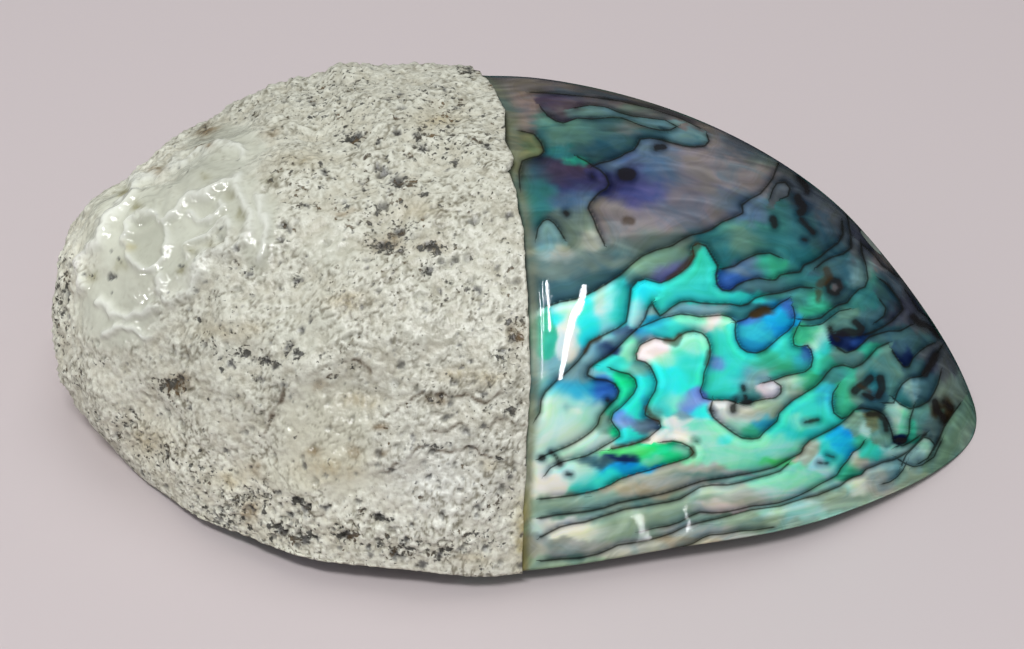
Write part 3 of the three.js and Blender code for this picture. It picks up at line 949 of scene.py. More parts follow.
# Worm tubes on the glaze: half width, then the points
TUBES = [
    (4.6, drawn("136,180 133,193 122,206 107,218 103,230 99,242 87,250 81,261 79,273 82,285")),
    (5.6, drawn("241,180 238,192 246,206 251,218 252,230 246,242 231,250 212,253 202,262 198,275 "
                "191,287 180,297 174,302")),
    (4.2, drawn("183,203 191,195 205,195 218,189 231,183 240,180")),
    (3.6, drawn("189,255 188,247 197,239 208,238 217,229 229,221 231,233 229,246")),
    (5.0, drawn("261,196 262,212 267,227 267,247 258,258")),
    (3.0, drawn("189,215 200,220 215,218 223,210 220,203")),
    (4.2, drawn("136,180 150,177 165,173 177,166 192,160 208,151 223,145 238,148 244,154")),
    (3.2, drawn("168,219 177,210 183,203")),
    (3.4, drawn("160,273 162,285 160,293 168,301 174,302")),
    (4.0, drawn("100,300 112,312 128,318 146,314 158,304")),
    (3.6, drawn("104,334 118,326 136,330 150,338")),
    (2.6, drawn("168,241 165,226 157,216 147,213 136,216 128,226 125,241 128,256 136,266 147,269 "
                "158,265 165,256 168,241")),
]

# Flat oval scar: x, y and half sizes
SCAR = (147, 241, 19, 25)

# Patches of dark specks on the crust, dark grains and painted shade in small pits: x, y, half sizes,
# strength
CLUSTERS = [
    (350, 110, 60, 34, 0.42), (450, 130, 50, 40, 0.4), (400, 190, 60, 30, 0.3), (310, 180, 40, 30, 0.25),
    (388, 207, 16, 9, 0.7), (385, 247, 15, 9, 1.0), (403, 229, 12, 8, 0.8), (432, 246, 18, 8, 1.0),
    (428, 270, 5, 8, 1.1), (472, 289, 11, 5, 0.8), (445, 299, 12, 4, 0.6), (299, 280, 7, 5, 0.9),
    (331, 293, 7, 9, 0.6), (397, 184, 15, 7, 0.9), (420, 193, 10, 2, 1.0), (502, 354, 6, 4, 1.2),
    (516, 336, 6, 9, 1.2), (512, 322, 9, 5, 0.8), (296, 353, 6, 7, 1.2), (287, 346, 5, 6, 1.2),
    (321, 388, 8, 4, 0.7), (354, 366, 4, 2, 1.2), (435, 399, 8, 3, 0.8), (515, 410, 8, 5, 0.7),
    (305, 206, 8, 5, 0.8), (352, 137, 11, 6, 1.1), (380, 142, 8, 5, 0.8), (417, 140, 12, 8, 0.7),
    (487, 144, 8, 6, 0.7), (324, 172, 7, 4, 0.9), (362, 182, 6, 4, 0.7), (267, 362, 9, 6, 1.0),
    (238, 360, 9, 8, 0.8), (282, 384, 8, 5, 0.9), (258, 380, 6, 4, 0.8), (168, 384, 18, 9, 1.0),
    (282, 531, 18, 9, 0.9), (305, 538, 12, 7, 1.0), (345, 536, 16, 8, 1.1), (385, 520, 16, 8, 0.7),
    (400, 548, 22, 9, 0.9), (440, 550, 16, 9, 0.8), (470, 540, 14, 9, 0.5), (297, 503, 16, 8, 0.8),
    (250, 500, 18, 12, 0.6), (205, 470, 20, 14, 0.5), (60, 300, 13, 60, 0.8), (75, 380, 16, 26, 0.7),
    (120, 430, 24, 18, 0.6), (160, 455, 22, 14, 0.6), (225, 520, 22, 10, 0.7), (330, 100, 26, 10, 0.5),
    (440, 95, 30, 10, 0.5), (470, 72, 12, 5, 0.9), (247, 268, 9, 6, 0.7), (212, 294, 8, 6, 0.5),
    (93, 279, 6, 5, 0.9), (122, 266, 6, 7, 0.6), (136, 207, 6, 6, 0.7), (122, 192, 6, 4, 0.6),
    (230, 196, 5, 5, 0.8), (240, 218, 4, 6, 0.6), (198, 321, 6, 3, 1.0), (119, 349, 3, 6, 0.8),
    (192, 251, 4, 3, 0.8), (211, 246, 4, 3, 1.0), (183, 268, 3, 3, 0.8), (430, 446, 12, 4, 0.7),
    (455, 470, 14, 5, 0.5), (495, 500, 10, 14, 0.5), (110, 360, 20, 10, 0.5), (205, 345, 16, 8, 0.5),
]

# Cracks of the crust: half width, then the points
CRACKS = [
    (1.6, drawn("322,369 332,361 347,359 360,360 367,369 372,377")),
    (2.0, drawn("375,427 390,415 400,407 410,397 422,391 437,395 450,395 465,392 475,400 485,404 "
                "495,395 503,391")),
    (1.4, drawn("430,430 445,429 460,425 480,427 505,422 525,425")),
    (1.8, drawn("265,432 272,417 282,402 284,390")),
    (2.2, drawn("275,457 280,472 287,490 300,505 315,517 330,505")),
    (1.5, drawn("385,470 400,462 412,452 430,447 448,452 470,449 492,455")),
]

# Black pits of the crust, black with painted shade: x, y, radius
BLACK_PITS = [
    (305, 540, 6), (345, 537, 8), (332, 530, 4), (282, 531, 7), (290, 515, 5), (380, 517, 6),
    (405, 540, 5), (369, 549, 5), (395, 555, 6), (430, 545, 3), (422, 565, 6), (441, 555, 4),
    (317, 540, 4), (277, 492, 4), (297, 500, 6), (307, 508, 5), (325, 507, 5), (287, 346, 5),
    (296, 353, 5), (267, 360, 4), (232, 365, 4), (276, 366, 5), (260, 380, 4), (284, 385, 4),
    (241, 352, 3), (252, 412, 3), (237, 395, 3), (352, 137, 6), (360, 134, 5), (324, 172, 4),
    (385, 172, 6), (398, 180, 7), (378, 168, 5), (382, 245, 7), (400, 231, 6), (430, 246, 6),
    (429, 270, 5), (300, 280, 4), (477, 290, 5), (487, 144, 4), (417, 135, 4), (423, 147, 5),
    (380, 141, 4), (397, 132, 4), (362, 182, 4), (307, 205, 4), (502, 352, 5), (514, 338, 6),
    (427, 446, 4), (229, 332, 2.5), (250, 275, 4), (180, 380, 6), (165, 386, 6), (205, 128, 3),
    (119, 258, 2), (119, 263, 2), (225, 230, 2), (205, 282, 2), (312, 100, 4), (400, 92, 3), (455, 108, 4),
    (470, 70, 5), (110, 277, 5), (180, 265, 3), (445, 90, 3), (440, 290, 3), (345, 292, 3),
]

# Stains of the crust: colour, x, y and half sizes
STAINS = [
    ("brown", 205, 129, 13, 6), ("brown", 205, 148, 8, 4), ("brown", 157, 171, 10, 4),
    ("brown", 273, 133, 8, 5), ("olive", 129, 247, 4, 5), ("brown", 385, 243, 17, 8),
    ("brown", 430, 244, 14, 6), ("brown", 345, 213, 13, 3), ("brown", 321, 387, 9, 4),
    ("brown", 315, 452, 8, 4), ("brown", 355, 452, 6, 6), ("brown", 435, 400, 9, 4),
    ("brown", 380, 427, 7, 4), ("tan", 452, 375, 16, 8), ("tan", 487, 377, 20, 8),
    ("brown", 515, 335, 8, 10), ("brown", 380, 452, 6, 4), ("tan", 487, 463, 10, 6),
    ("brown", 250, 512, 8, 12), ("brown", 180, 382, 12, 9), ("brown", 255, 470, 8, 8),
    ("tan", 330, 470, 30, 14), ("tan", 215, 330, 14, 8), ("olive", 525, 535, 9, 34),
    ("tan", 150, 440, 18, 14), ("tan", 470, 560, 16, 5), ("moss", 136, 207, 6, 6),
    ("moss", 122, 192, 7, 4), ("moss", 93, 279, 6, 4), ("moss", 120, 266, 6, 6), ("moss", 230, 197, 5, 5),
    ("moss", 240, 216, 4, 6), ("moss", 207, 177, 6, 4), ("moss", 273, 178, 7, 5), ("moss", 192, 252, 5, 3),
    ("moss", 211, 246, 5, 3), ("moss", 184, 268, 4, 3), ("tan", 350, 300, 22, 10),
    ("tan", 420, 210, 24, 8), ("tan", 300, 160, 20, 8), ("tan", 440, 120, 22, 8), ("tan", 250, 330, 16, 8),
    ("tan", 360, 400, 18, 8), ("tan", 230, 480, 16, 8),
]

# Colours of the crust, each with its strength
CRUST_COLOURS = {
    # Painted shade for the crevices and the flake grooves
    "crevice_shade": ((108, 102, 84), 0.74),
    "pale": ((226, 227, 214), 1.0),
    "shade": ((206, 204, 188), 1.0),
    "glaze": ((216, 220, 206), 0.8),
    "cream": ((220, 216, 194), 0.8),
    "white": ((226, 229, 226), 0.55),
    "brown": ((122, 100, 70), 0.75),
    "tan": ((188, 176, 144), 0.75),
    "moss": ((134, 130, 98), 0.75),
    "olive": ((158, 142, 78), 0.75),
    # Painted shade inside the pits
    "hole": ((58, 58, 60), 0.85),
    "crack": ((92, 76, 60), 0.75),
    "tube": ((232, 235, 226), 0.85),
    "pool": ((188, 191, 175), 0.6),
}


def footed(point, side, on_rim):
    foot = rim_height(side)
    low = np.maximum(point[..., 2], foot + RIM_CLEARANCE)
    point[..., 2] = np.where(on_rim, foot, low)
    return point


def lattice(columns, rows):
    column, row = np.meshgrid(columns, rows)
    return column, row, np.maximum(np.abs(column), np.abs(row)) > 1 - TOLERANCE


def lattice_faces(columns, rows, offset, turned_over):
    index = np.arange(columns * rows).reshape(rows, columns) + offset
    corners = [index[:-1, :-1], index[:-1, 1:], index[1:, 1:], index[1:, :-1]]
    if turned_over:
        corners.reverse()
    return np.stack(corners, axis=-1).reshape(-1, 4)


def lattice_border(columns, rows, offset):
    index = np.arange(columns * rows).reshape(rows, columns) + offset
    return np.concatenate([index[0, :-1], index[:-1, -1], index[-1, :0:-1], index[:0:-1, 0]])


# Triangles between two closed rings that run the same way round, by their angle about an axis
def zip_rings(points, outer, inner, angle_of):
    def ring_from_least(ring):
        angles = np.unwrap(angle_of(points[ring]))
        if angles[-1] < angles[0]:
            ring = ring[::-1]
        start = angle_of(points[ring]).argmin()
        ring = np.roll(ring, -start)
        return ring, np.maximum.accumulate(np.unwrap(angle_of(points[ring])))
    first, first_angles = ring_from_least(outer)
    second, second_angles = ring_from_least(inner)
    faces = []
    at = 0
    other = 0
    while at < len(first) or other < len(second):
        next_first = first_angles[at + 1] if at + 1 < len(first) else first_angles[0] + 2 * np.pi
        next_second = second_angles[other + 1] if other + 1 < len(second) else second_angles[0] + 2 * np.pi
        here = first[at % len(first)]
        there = second[other % len(second)]
        if other >= len(second) or (at < len(first) and next_first <= next_second):
            faces.append((int(here), int(there), int(first[(at + 1) % len(first)])))
            at += 1
        else:
            faces.append((int(here), int(there), int(second[(other + 1) % len(second)])))
            other += 1
    return faces


# Faces of two grids of points, the second one turned over, and of the band that closes their borders
def closed_faces(points, outer_size, inner_size, angle_of):
    count = outer_size[0] * outer_size[1]
    outer = lattice_faces(*outer_size, 0, False)
    inner = lattice_faces(*inner_size, count, True)
    joins = zip_rings(points, lattice_border(*outer_size, 0), lattice_border(*inner_size, count), angle_of)
    return outer, inner, joins


def plan_angle(points):
    return np.arctan2(points[:, 1], points[:, 0])


def nacre_offset(column):
    fillet = FILLET_HEIGHT * np.clip(1.0 - column / FILLET_RUN, 0.0, 1.0) ** 2
    return fillet - SHOULDER_DROP * np.clip(1.0 - column / SHOULDER_RUN, 0.0, 1.0) ** 2


def make_piece(name, points, faces, material):
    mesh = bpy.data.meshes.new(name)
    mesh.from_pydata((points * MILLIMETRE).tolist(), [], faces)
    mesh.validate()
    mesh.polygons.foreach_set("use_smooth", [True] * len(mesh.polygons))
    mesh.materials.append(material)
    piece = bpy.data.objects.new(name, mesh)
    bpy.context.scene.collection.objects.link(piece)
    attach(piece, "root")
    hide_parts("shell")
    return piece


def add_colour(piece, name, values):
    attribute = piece.data.attributes.new(name, "FLOAT_COLOR", "POINT")
    full = np.concatenate([values, np.ones((len(values), 1))], axis=1)
    attribute.data.foreach_set("color", full.astype(np.float32).ravel())


def add_value(piece, name, values):
    attribute = piece.data.attributes.new(name, "FLOAT", "POINT")
    attribute.data.foreach_set("value", np.asarray(values, np.float32))


def facing(point, normal):
    back = camera_axes()[0]
    eye = CAMERA_AIM + back * CAMERA_DISTANCE
    ray = eye - point
    ray = ray / np.linalg.norm(ray, axis=-1, keepdims=True)
    return np.sum(ray * normal, axis=-1)


# Lines that come close to each other go to different groups, so that each group's signed distance is smooth
def line_groups():
    groups = []
    for width, line in GROWTH_LINES:
        points = along_line(line)
        for group in groups:
            if all(gap_between(points, other) > LINE_CLEARANCE for _, _, other in group):
                group.append((width, line, points))
                break
        else:
            groups.append([(width, line, points)])
    return groups


def along_line(line):
    points = np.array(line, float)
    steps = np.linspace(0.0, 1.0, LINE_STEPS, endpoint=False)[:, None]
    return np.concatenate([mix(start, end, steps) for start, end in zip(points[:-1], points[1:])])


def gap_between(first, second):
    return np.linalg.norm(first[:, None] - second[None], axis=-1).min()


# Signed distance to the nearest line of each group, in half widths of that line
def line_distances(places):
    fields = []
    for group in line_groups():
        nearest = np.full(len(places), np.inf)
        field = np.zeros(len(places))
        for width, line, _ in group:
            away, signed, _, _ = from_line(places, line)
            nearer = away < nearest
            nearest = np.where(nearer, away, nearest)
            field = np.where(nearer, signed / width, field)
        fields.append(np.clip(field, -LINE_RANGE, LINE_RANGE))
    return fields


# Distance in pixels to the nearest line, and the dark band on the left and the pale one on the right
def line_bands(places):
    nearest = np.full(len(places), LINE_RANGE)
    deep = np.zeros(len(places))
    pale = np.zeros(len(places))
    for width, line in GROWTH_LINES:
        away, signed, along, length = from_line(places, line)
        nearest = np.minimum(nearest, away)
        whole = smooth(np.minimum(along, length - along), 0.0, LINE_END)
        shade = whole * smooth(away, 0.0, DEEP_ONSET) * np.exp(-away / (DEEP_BAND * width))
        gleam = whole * bell(away - PALE_BAND, PALE_SPREAD)
        deep = np.maximum(deep, np.where(signed > 0, shade, 0.0))
        pale = np.maximum(pale, np.where(signed < 0, gleam, 0.0))
    return nearest, deep, pale


# Colour of the polished half at places in the picture; a field hardly passes the line that bounds it
def paint_nacre(places, warped):
    fields = np.array([field for group in FIELDS.values() for field in group], float)
    tones = np.array([COLOURS[name] for name, group in FIELDS.items() for _ in group], float)
    centres = fields[:, :2]
    square = (((warped[:, None] - centres) / fields[:, 2:]) ** 2).sum(axis=-1)
    weight = np.exp(-np.minimum(square, FARTHEST_FIELD))
    for _, line in GROWTH_LINES:
        away, signed, _, _ = from_line(places, line)
        centre_away, centre_signed, _, _ = from_line(centres, line)
        near = np.nonzero(away < LINE_HOLD)[0]
        across = np.sign(signed[near])[:, None] != np.sign(centre_signed)
        across = across & (centre_away < LINE_REACH)
        hold = mix(LINE_LEAK, 1.0, smooth(away[near], LINE_HOLD_FROM, LINE_HOLD))
        weight[near] *= np.where(across, hold[:, None], 1.0)
    weight = weight + LEAST_WEIGHT
    return (weight @ tones) / weight.sum(axis=1, keepdims=True)


# Squared distance from the middle of an oval in the picture, in shares of its half sizes
def oval_square(places, x, y, half_x, half_y):
    return ((places[:, 0] - x) / half_x) ** 2 + ((places[:, 1] - y) / half_y) ** 2


def oval_share(places, *oval):
    return np.exp(-oval_square(places, *oval))


# Distance in pixels to the nearest mark's edge, negative inside it
def mark_distance(places, marks):
    nearest = np.full(len(places), MARK_RANGE)
    for half_width, line in marks:
        nearest = np.minimum(nearest, from_line(places, line)[0] - half_width)
    return nearest


def row_places(seen, hidden):
    front = np.linspace(-1.0, LAST_SEEN_ROW, seen, endpoint=False)
    return np.concatenate([front, np.linspace(LAST_SEEN_ROW, 1.0, hidden)])


def nacre_inside():
    column, row, on_rim = lattice(np.linspace(-1, 1, INNER_COLUMNS), np.linspace(-1, 1, INNER_ROWS))
    reach, side = grid_place(column, row)
    lip = mix(OUTER_LIP, INNER_LIP, hump(side, INNER_LIP_SIDE, INNER_LIP_SPREAD))
    drawn_in = mix(WALL, lip, smooth(reach, 1.0 - INNER_LIP_DEPTH, 1.0))
    return footed(dome_at(reach, side, drawn_in, WALL), side, on_rim), row


# The ring of points around a patch of faces, in order
def border_loop(faces):
    sides = np.stack([faces, np.roll(faces, -1, axis=1)], axis=-1).reshape(-1, 2)
    pairs = {tuple(side) for side in sides.tolist()}
    after = {start: end for start, end in pairs if (end, start) not in pairs}
    ring = [min(after)]
    while after[ring[-1]] != ring[0]:
        ring.append(after[ring[-1]])
    return np.array(ring)


# Takes out the faces inside a round hole and draws the hole's edge onto its circle
def open_pore(points, faces, centre, axis, radius):
    away = points - centre
    across = away - (away @ axis)[:, None] * axis
    distance = np.linalg.norm(across, axis=1)
    middle = points[faces].mean(axis=1) - centre
    middle_height = middle @ axis
    middle_distance = np.linalg.norm(middle - middle_height[:, None] * axis, axis=1)
    within = (middle_distance < radius) & (np.abs(middle_height) < PORE_DEPTH)
    ring = border_loop(faces[within])
    points[ring] += across[ring] * (radius / distance[ring] - 1.0)[:, None]
    return faces[~within], ring


# Opens the pores through both faces of the wall, and gives the faces of their sides
def cut_pores(points, outer_faces, inner_faces):
    joins = []
    for pore in range(PORES):
        reach = np.array(PORE_REACH)
        side = np.array(FIRST_PORE_SIDE + pore * PORE_STEP)
        centre = dome_at(reach, side)
        axis = dome_normal(reach, side)
        radius = PORE_RADIUS * (1.0 - PORE_SHRINK * pore)
        outer_faces, outer_ring = open_pore(points, outer_faces, centre, axis, radius)
        inner_faces, inner_ring = open_pore(points, inner_faces, centre, axis, radius * (1.0 - PORE_TAPER))
        level = np.cross(axis, [0.0, 0.0, 1.0])
        level = level / np.linalg.norm(level)
        steep = np.cross(axis, level)

        def about(places, middle=centre, first=level, second=steep):
            return np.arctan2((places - middle) @ second, (places - middle) @ first)
        joins += [face[::-1] for face in zip_rings(points, outer_ring, inner_ring, about)]
    return outer_faces, inner_faces, joins


# Colours of the outer face of the nacre, as light
def nacre_light(points, places, column):
    drift = [noise_field(points + shift, DRIFT_SIZE, DRIFT_OCTAVES) for shift in (0.0, DRIFT_SHIFT)]
    painted = paint_nacre(places, places + FIELD_DRIFT * np.stack(drift, axis=1))
    # Tints beside the crust, and a painted shadow line along its edge
    for colour, middle, spread, strength, heights in EDGE_TINTS_AND_SHADOW:
        share = strength * bell(column - middle, spread) * (column > -TOLERANCE)
        share = share * smooth(places[:, 1], *heights)
        painted = mix(painted, np.array(colour, float), share[:, None])
    # Painted sheen, brighter in the oval and darker away from it
    painted_sheen = smooth(np.sqrt(oval_square(places, *PAINTED_SHEEN)), *PAINTED_SHEEN_RANGE)
    return np.minimum(linear(painted) * mix(PAINTED_SHEEN_MOST, PAINTED_SHEEN_LEAST, painted_sheen)[:, None], 1.0)


def make_nacre(material):
    columns = np.concatenate([
        np.linspace(-1.0, 0.0, UNDER_CRUST_COLUMNS, endpoint=False),
        np.linspace(0.0, EDGE_COLUMN, EDGE_COLUMNS, endpoint=False),
        np.linspace(EDGE_COLUMN, 1.0, NACRE_COLUMNS),
    ])
    rows = row_places(SEEN_ROWS, HIDDEN_ROWS)
    column, row, on_rim = lattice(columns, rows)
    reach, side = grid_place(column, row)
    normal = dome_normal(reach, side)
    below = -mix(BODY_DEPTH, BODY_DEPTH_AT_RIM, smooth(reach, CRUST_THINS_FROM, 1.0))
    polished = nacre_offset(np.maximum(column, 0.0)) * falling(reach, SHOULDER_ENDS_FROM, 1.0)
    offset = np.where(column < -TOLERANCE, below, polished)
    outer = footed(dome_at(reach, side) + normal * offset[..., None], side, on_rim)
    inner, inner_row = nacre_inside()
    points = np.concatenate([outer.reshape(-1, 3), inner.reshape(-1, 3)])
    count = column.size
    sizes = (len(columns), len(rows)), (INNER_COLUMNS, INNER_ROWS)
    outer_faces, inner_faces, joins = closed_faces(points, *sizes, plan_angle)
    outer_faces, inner_faces, pore_joins = cut_pores(points, outer_faces, inner_faces)
    faces = outer_faces.tolist() + inner_faces.tolist() + joins + pore_joins
    used = np.zeros(len(points), bool)
    for face in faces:
        used[list(face)] = True
    renumber = np.cumsum(used) - 1
    faces = [tuple(int(renumber[corner]) for corner in face) for face in faces]
    piece = make_piece("shell_nacre", points[used], faces, material)
    column = column.ravel()
    places = picture_place(points[:count])
    seen = smooth(facing(outer, normal), 0.0, SEEN_FROM).ravel() * smooth(column, *SEEN_COLUMNS)

    def whole(values, inside):
        rest = np.full((len(points) - count, *values.shape[1:]), float(inside))
        return np.concatenate([values, rest])[used]
    add_colour(piece, "painted", whole(nacre_light(points[:count], places, column), linear(INSIDE_GREY)))
    for index, distances in enumerate(line_distances(places)):
        distances = np.where(seen > LEAST_SEEN, distances, LINE_RANGE)
        add_value(piece, f"line_{index}", whole(distances, LINE_RANGE))
    nearest, deep, pale = line_bands(places)
    add_value(piece, "line_near", whole(nearest, LINE_RANGE))
    add_value(piece, "deep", whole(deep, 0.0))
    add_value(piece, "pale", whole(pale, 0.0))
    add_value(piece, "dark_mark", whole(mark_distance(places, DARK_MARKS), MARK_RANGE))
    add_value(piece, "brown_mark", whole(mark_distance(places, BROWN_MARKS), MARK_RANGE))
    add_value(piece, "flow_along", whole(FLOW_ALONG * column, 0.0))
    add_value(piece, "flow_across", whole(FLOW_SLANT * column - FLOW_ACROSS * row.ravel(), 0.0))
    add_value(piece, "shown", whole(seen, 0.0))
    add_value(piece, "growth", GROWTH_SPAN * np.concatenate([row.ravel(), inner_row.ravel()])[used])


def crust_underside():
    column, row, _ = lattice(np.linspace(-1, 0, UNDERSIDE_COLUMNS), np.linspace(-1, 1, UNDERSIDE_ROWS))
    reach, side = grid_place(column, row)
    depth = mix(UNDERSIDE_DEPTH, UNDERSIDE_DEPTH_AT_RIM, smooth(reach, CRUST_THINS_FROM, 1.0))
    under = dome_at(reach, side) - dome_normal(reach, side) * depth[..., None]
    under[..., 2] = np.maximum(under[..., 2], rim_height(side) + UNDERSIDE_CLEARANCE)
    return under.reshape(-1, 3)


def underside_angle(points):
    return plan_angle(points[:, :2] - UNDERSIDE_MIDDLE)


def make_crust(material):
    columns = np.linspace(-1.0, 0.0, CRUST_COLUMNS)
    rows = row_places(CRUST_ROWS, HIDDEN_ROWS)
    column, row, on_rim = lattice(columns, rows)
    along_edge = np.zeros((row.size, 3))
    along_edge[:, 0] = EDGE_WAVES * row.ravel()
    waver = EDGE_WAVER * noise_field(along_edge, 1.0, EDGE_WAVE_OCTAVES).reshape(row.shape)
    waver = waver * smooth(column, -EDGE_WAVER_RUN, 0.0)
    column = column + waver * falling(np.abs(row), *EDGE_WAVER_ENDS)
    reach, side = grid_place(column, row)
    base = dome_at(reach, side)
    normal = dome_normal(reach, side)
    broad = broad_relief(base, reach, column)
    places = picture_place((base + normal * broad[..., None]).reshape(-1, 3))
    shown = smooth(facing(base, normal), 0.0, CRUST_SEEN_FROM).ravel()
    fine, marks = crust_detail(base.reshape(-1, 3), places, shown, reach.ravel(), column.ravel())
    lowest = LOWEST_CRUST * falling(reach, CRUST_THINS_FROM, 1.0)
    offset = np.maximum(broad + fine.reshape(broad.shape), lowest)
    outer = footed(base + normal * offset[..., None], side, on_rim)
    points = np.concatenate([outer.reshape(-1, 3), crust_underside()])
    count = column.size
    sizes = (len(columns), len(rows)), (UNDERSIDE_COLUMNS, UNDERSIDE_ROWS)
    outer_faces, under_faces, joins = closed_faces(points, *sizes, underside_angle)
    faces = outer_faces.tolist() + under_faces.tolist() + joins
    piece = make_piece("shell_crust", points, faces, material)
    rest = len(points) - count
    colour = np.concatenate([marks["colour"], np.full((rest, 3), UNDERSIDE_GREY)])
    # Painted light, lighter near the floor and towards the left end
    painted_light = np.maximum(falling(points[:, 2], *PAINTED_LIGHT_LOW), falling(points[:, 0], *PAINTED_LIGHT_LEFT))
    add_colour(piece, "painted", np.minimum(linear(colour) * (1.0 + PAINTED_LIGHT_GAIN * painted_light)[:, None], 1.0))
    for name in ("glaze", "cluster"):
        add_value(piece, name, np.concatenate([marks[name], np.zeros(rest)]))


# Depth of the pits and the painted shade in them: small ones scattered from a fixed seed, black ones placed
# one by one
def crust_pits(points, places, shown, glaze, noises):
    hole = np.zeros(len(points))
    pit_shade = np.zeros(len(points))
    tree = kdtree.KDTree(len(points))
    for index, point in enumerate(points.tolist()):
        tree.insert(point, index)
    tree.balance()
    draws = np.random.default_rng(PIT_SEED)
    chosen = draws.integers(0, len(points), RANDOM_PITS)
    sizes = PIT_LEAST + PIT_SPREAD * draws.random(RANDOM_PITS) ** PIT_SIZE_POWER
    tones = PIT_SHADE * draws.random(RANDOM_PITS) ** PIT_SHADE_POWER
    keeps = draws.random(RANDOM_PITS)
    for index, size, tone, keep in zip(chosen, sizes, tones, keeps):
        if keep < GLAZE_FILLS * glaze[index]:
            continue
        for _, near, distance in tree.find_range(points[index], PIT_REACH * size):
            ragged = distance / size * (1.0 + PIT_RAGGED * noises["fine"][near])
            profile = math.exp(-ragged ** 4)
            hole[near] = max(hole[near], profile * size)
            pit_shade[near] = max(pit_shade[near], profile * tone)
    jagged = places + BLACK_JAG * np.stack([noises["fine"], noises["jag"]], axis=1)
    for x, y, radius in BLACK_PITS:
        edge = BLACK_EDGE * radius
        profile = np.exp(-oval_square(jagged, x, y, edge, edge / BLACK_FLATNESS) ** 2) * shown
        hole = np.maximum(hole, profile * min(BLACK_DEPTH * radius, BLACK_DEEPEST))
        pit_shade = np.maximum(pit_shade, profile * BLACK_PIT_SHADE)
    return hole, pit_shade


def tone_of(name):
    return np.array(CRUST_COLOURS[name][0], float)


def stained(colour, name, share):
    return mix(colour, tone_of(name), (CRUST_COLOURS[name][1] * share)[:, None])


def crust_colour(places, wandered, shown, noises, marks):
    grain, fine, swell = (noises[name] for name in ("grain", "fine", "swell"))
    tone = 0.5 + 0.5 * np.clip(grain + TONE_FINE * fine + TONE_SWELL * swell, -1.0, 1.0)
    colour = stained(tone_of("shade"), "pale", smooth(tone, *TONE_RANGE))
    colour = stained(colour, "white", oval_share(places, *WHITE_PATCH) * shown)
    pool = POOL_LEVEL + POOL_SWELL * swell
    glazed = mix(tone_of("glaze"), tone_of("pool"), pool[:, None])
    colour = mix(colour, glazed, (CRUST_COLOURS["glaze"][1] * marks["glaze"])[:, None])
    colour = stained(colour, "tube", marks["tube"])
    colour = stained(colour, "pool", marks["scar"])
    colour = stained(colour, "cream", marks["glaze"] * oval_share(places, *CREAM_PATCH))
    mottled = mix(STAIN_LEAST, 1.0, smooth(fine + grain, *STAIN_RANGE)) * shown
    for name, *oval in STAINS:
        colour = stained(colour, name, oval_share(wandered, *oval) * mottled)
    colour = stained(colour, "crack", marks["crack"])
    # Painted shade in the crumb's crevices and in the flake grooves
    crevice_shade = bell(noises["crumb"], CREVICE_SHADE_WIDTH) * smooth(swell + CREVICE_SHADE_GRAIN * grain, *CREVICE_SHADE_RANGE)
    flake_groove_shade = FLAKE_SHADE_SHARE * bell(noises["flake"], FLAKE_SHADE_WIDTH) * smooth(fine + swell, *FLAKE_SHADE_RANGE)
    colour = stained(colour, "crevice_shade", np.maximum(crevice_shade, flake_groove_shade) * marks["rough"])
    # Painted shade in the pits
    return stained(colour, "hole", marks["pit_shade"])


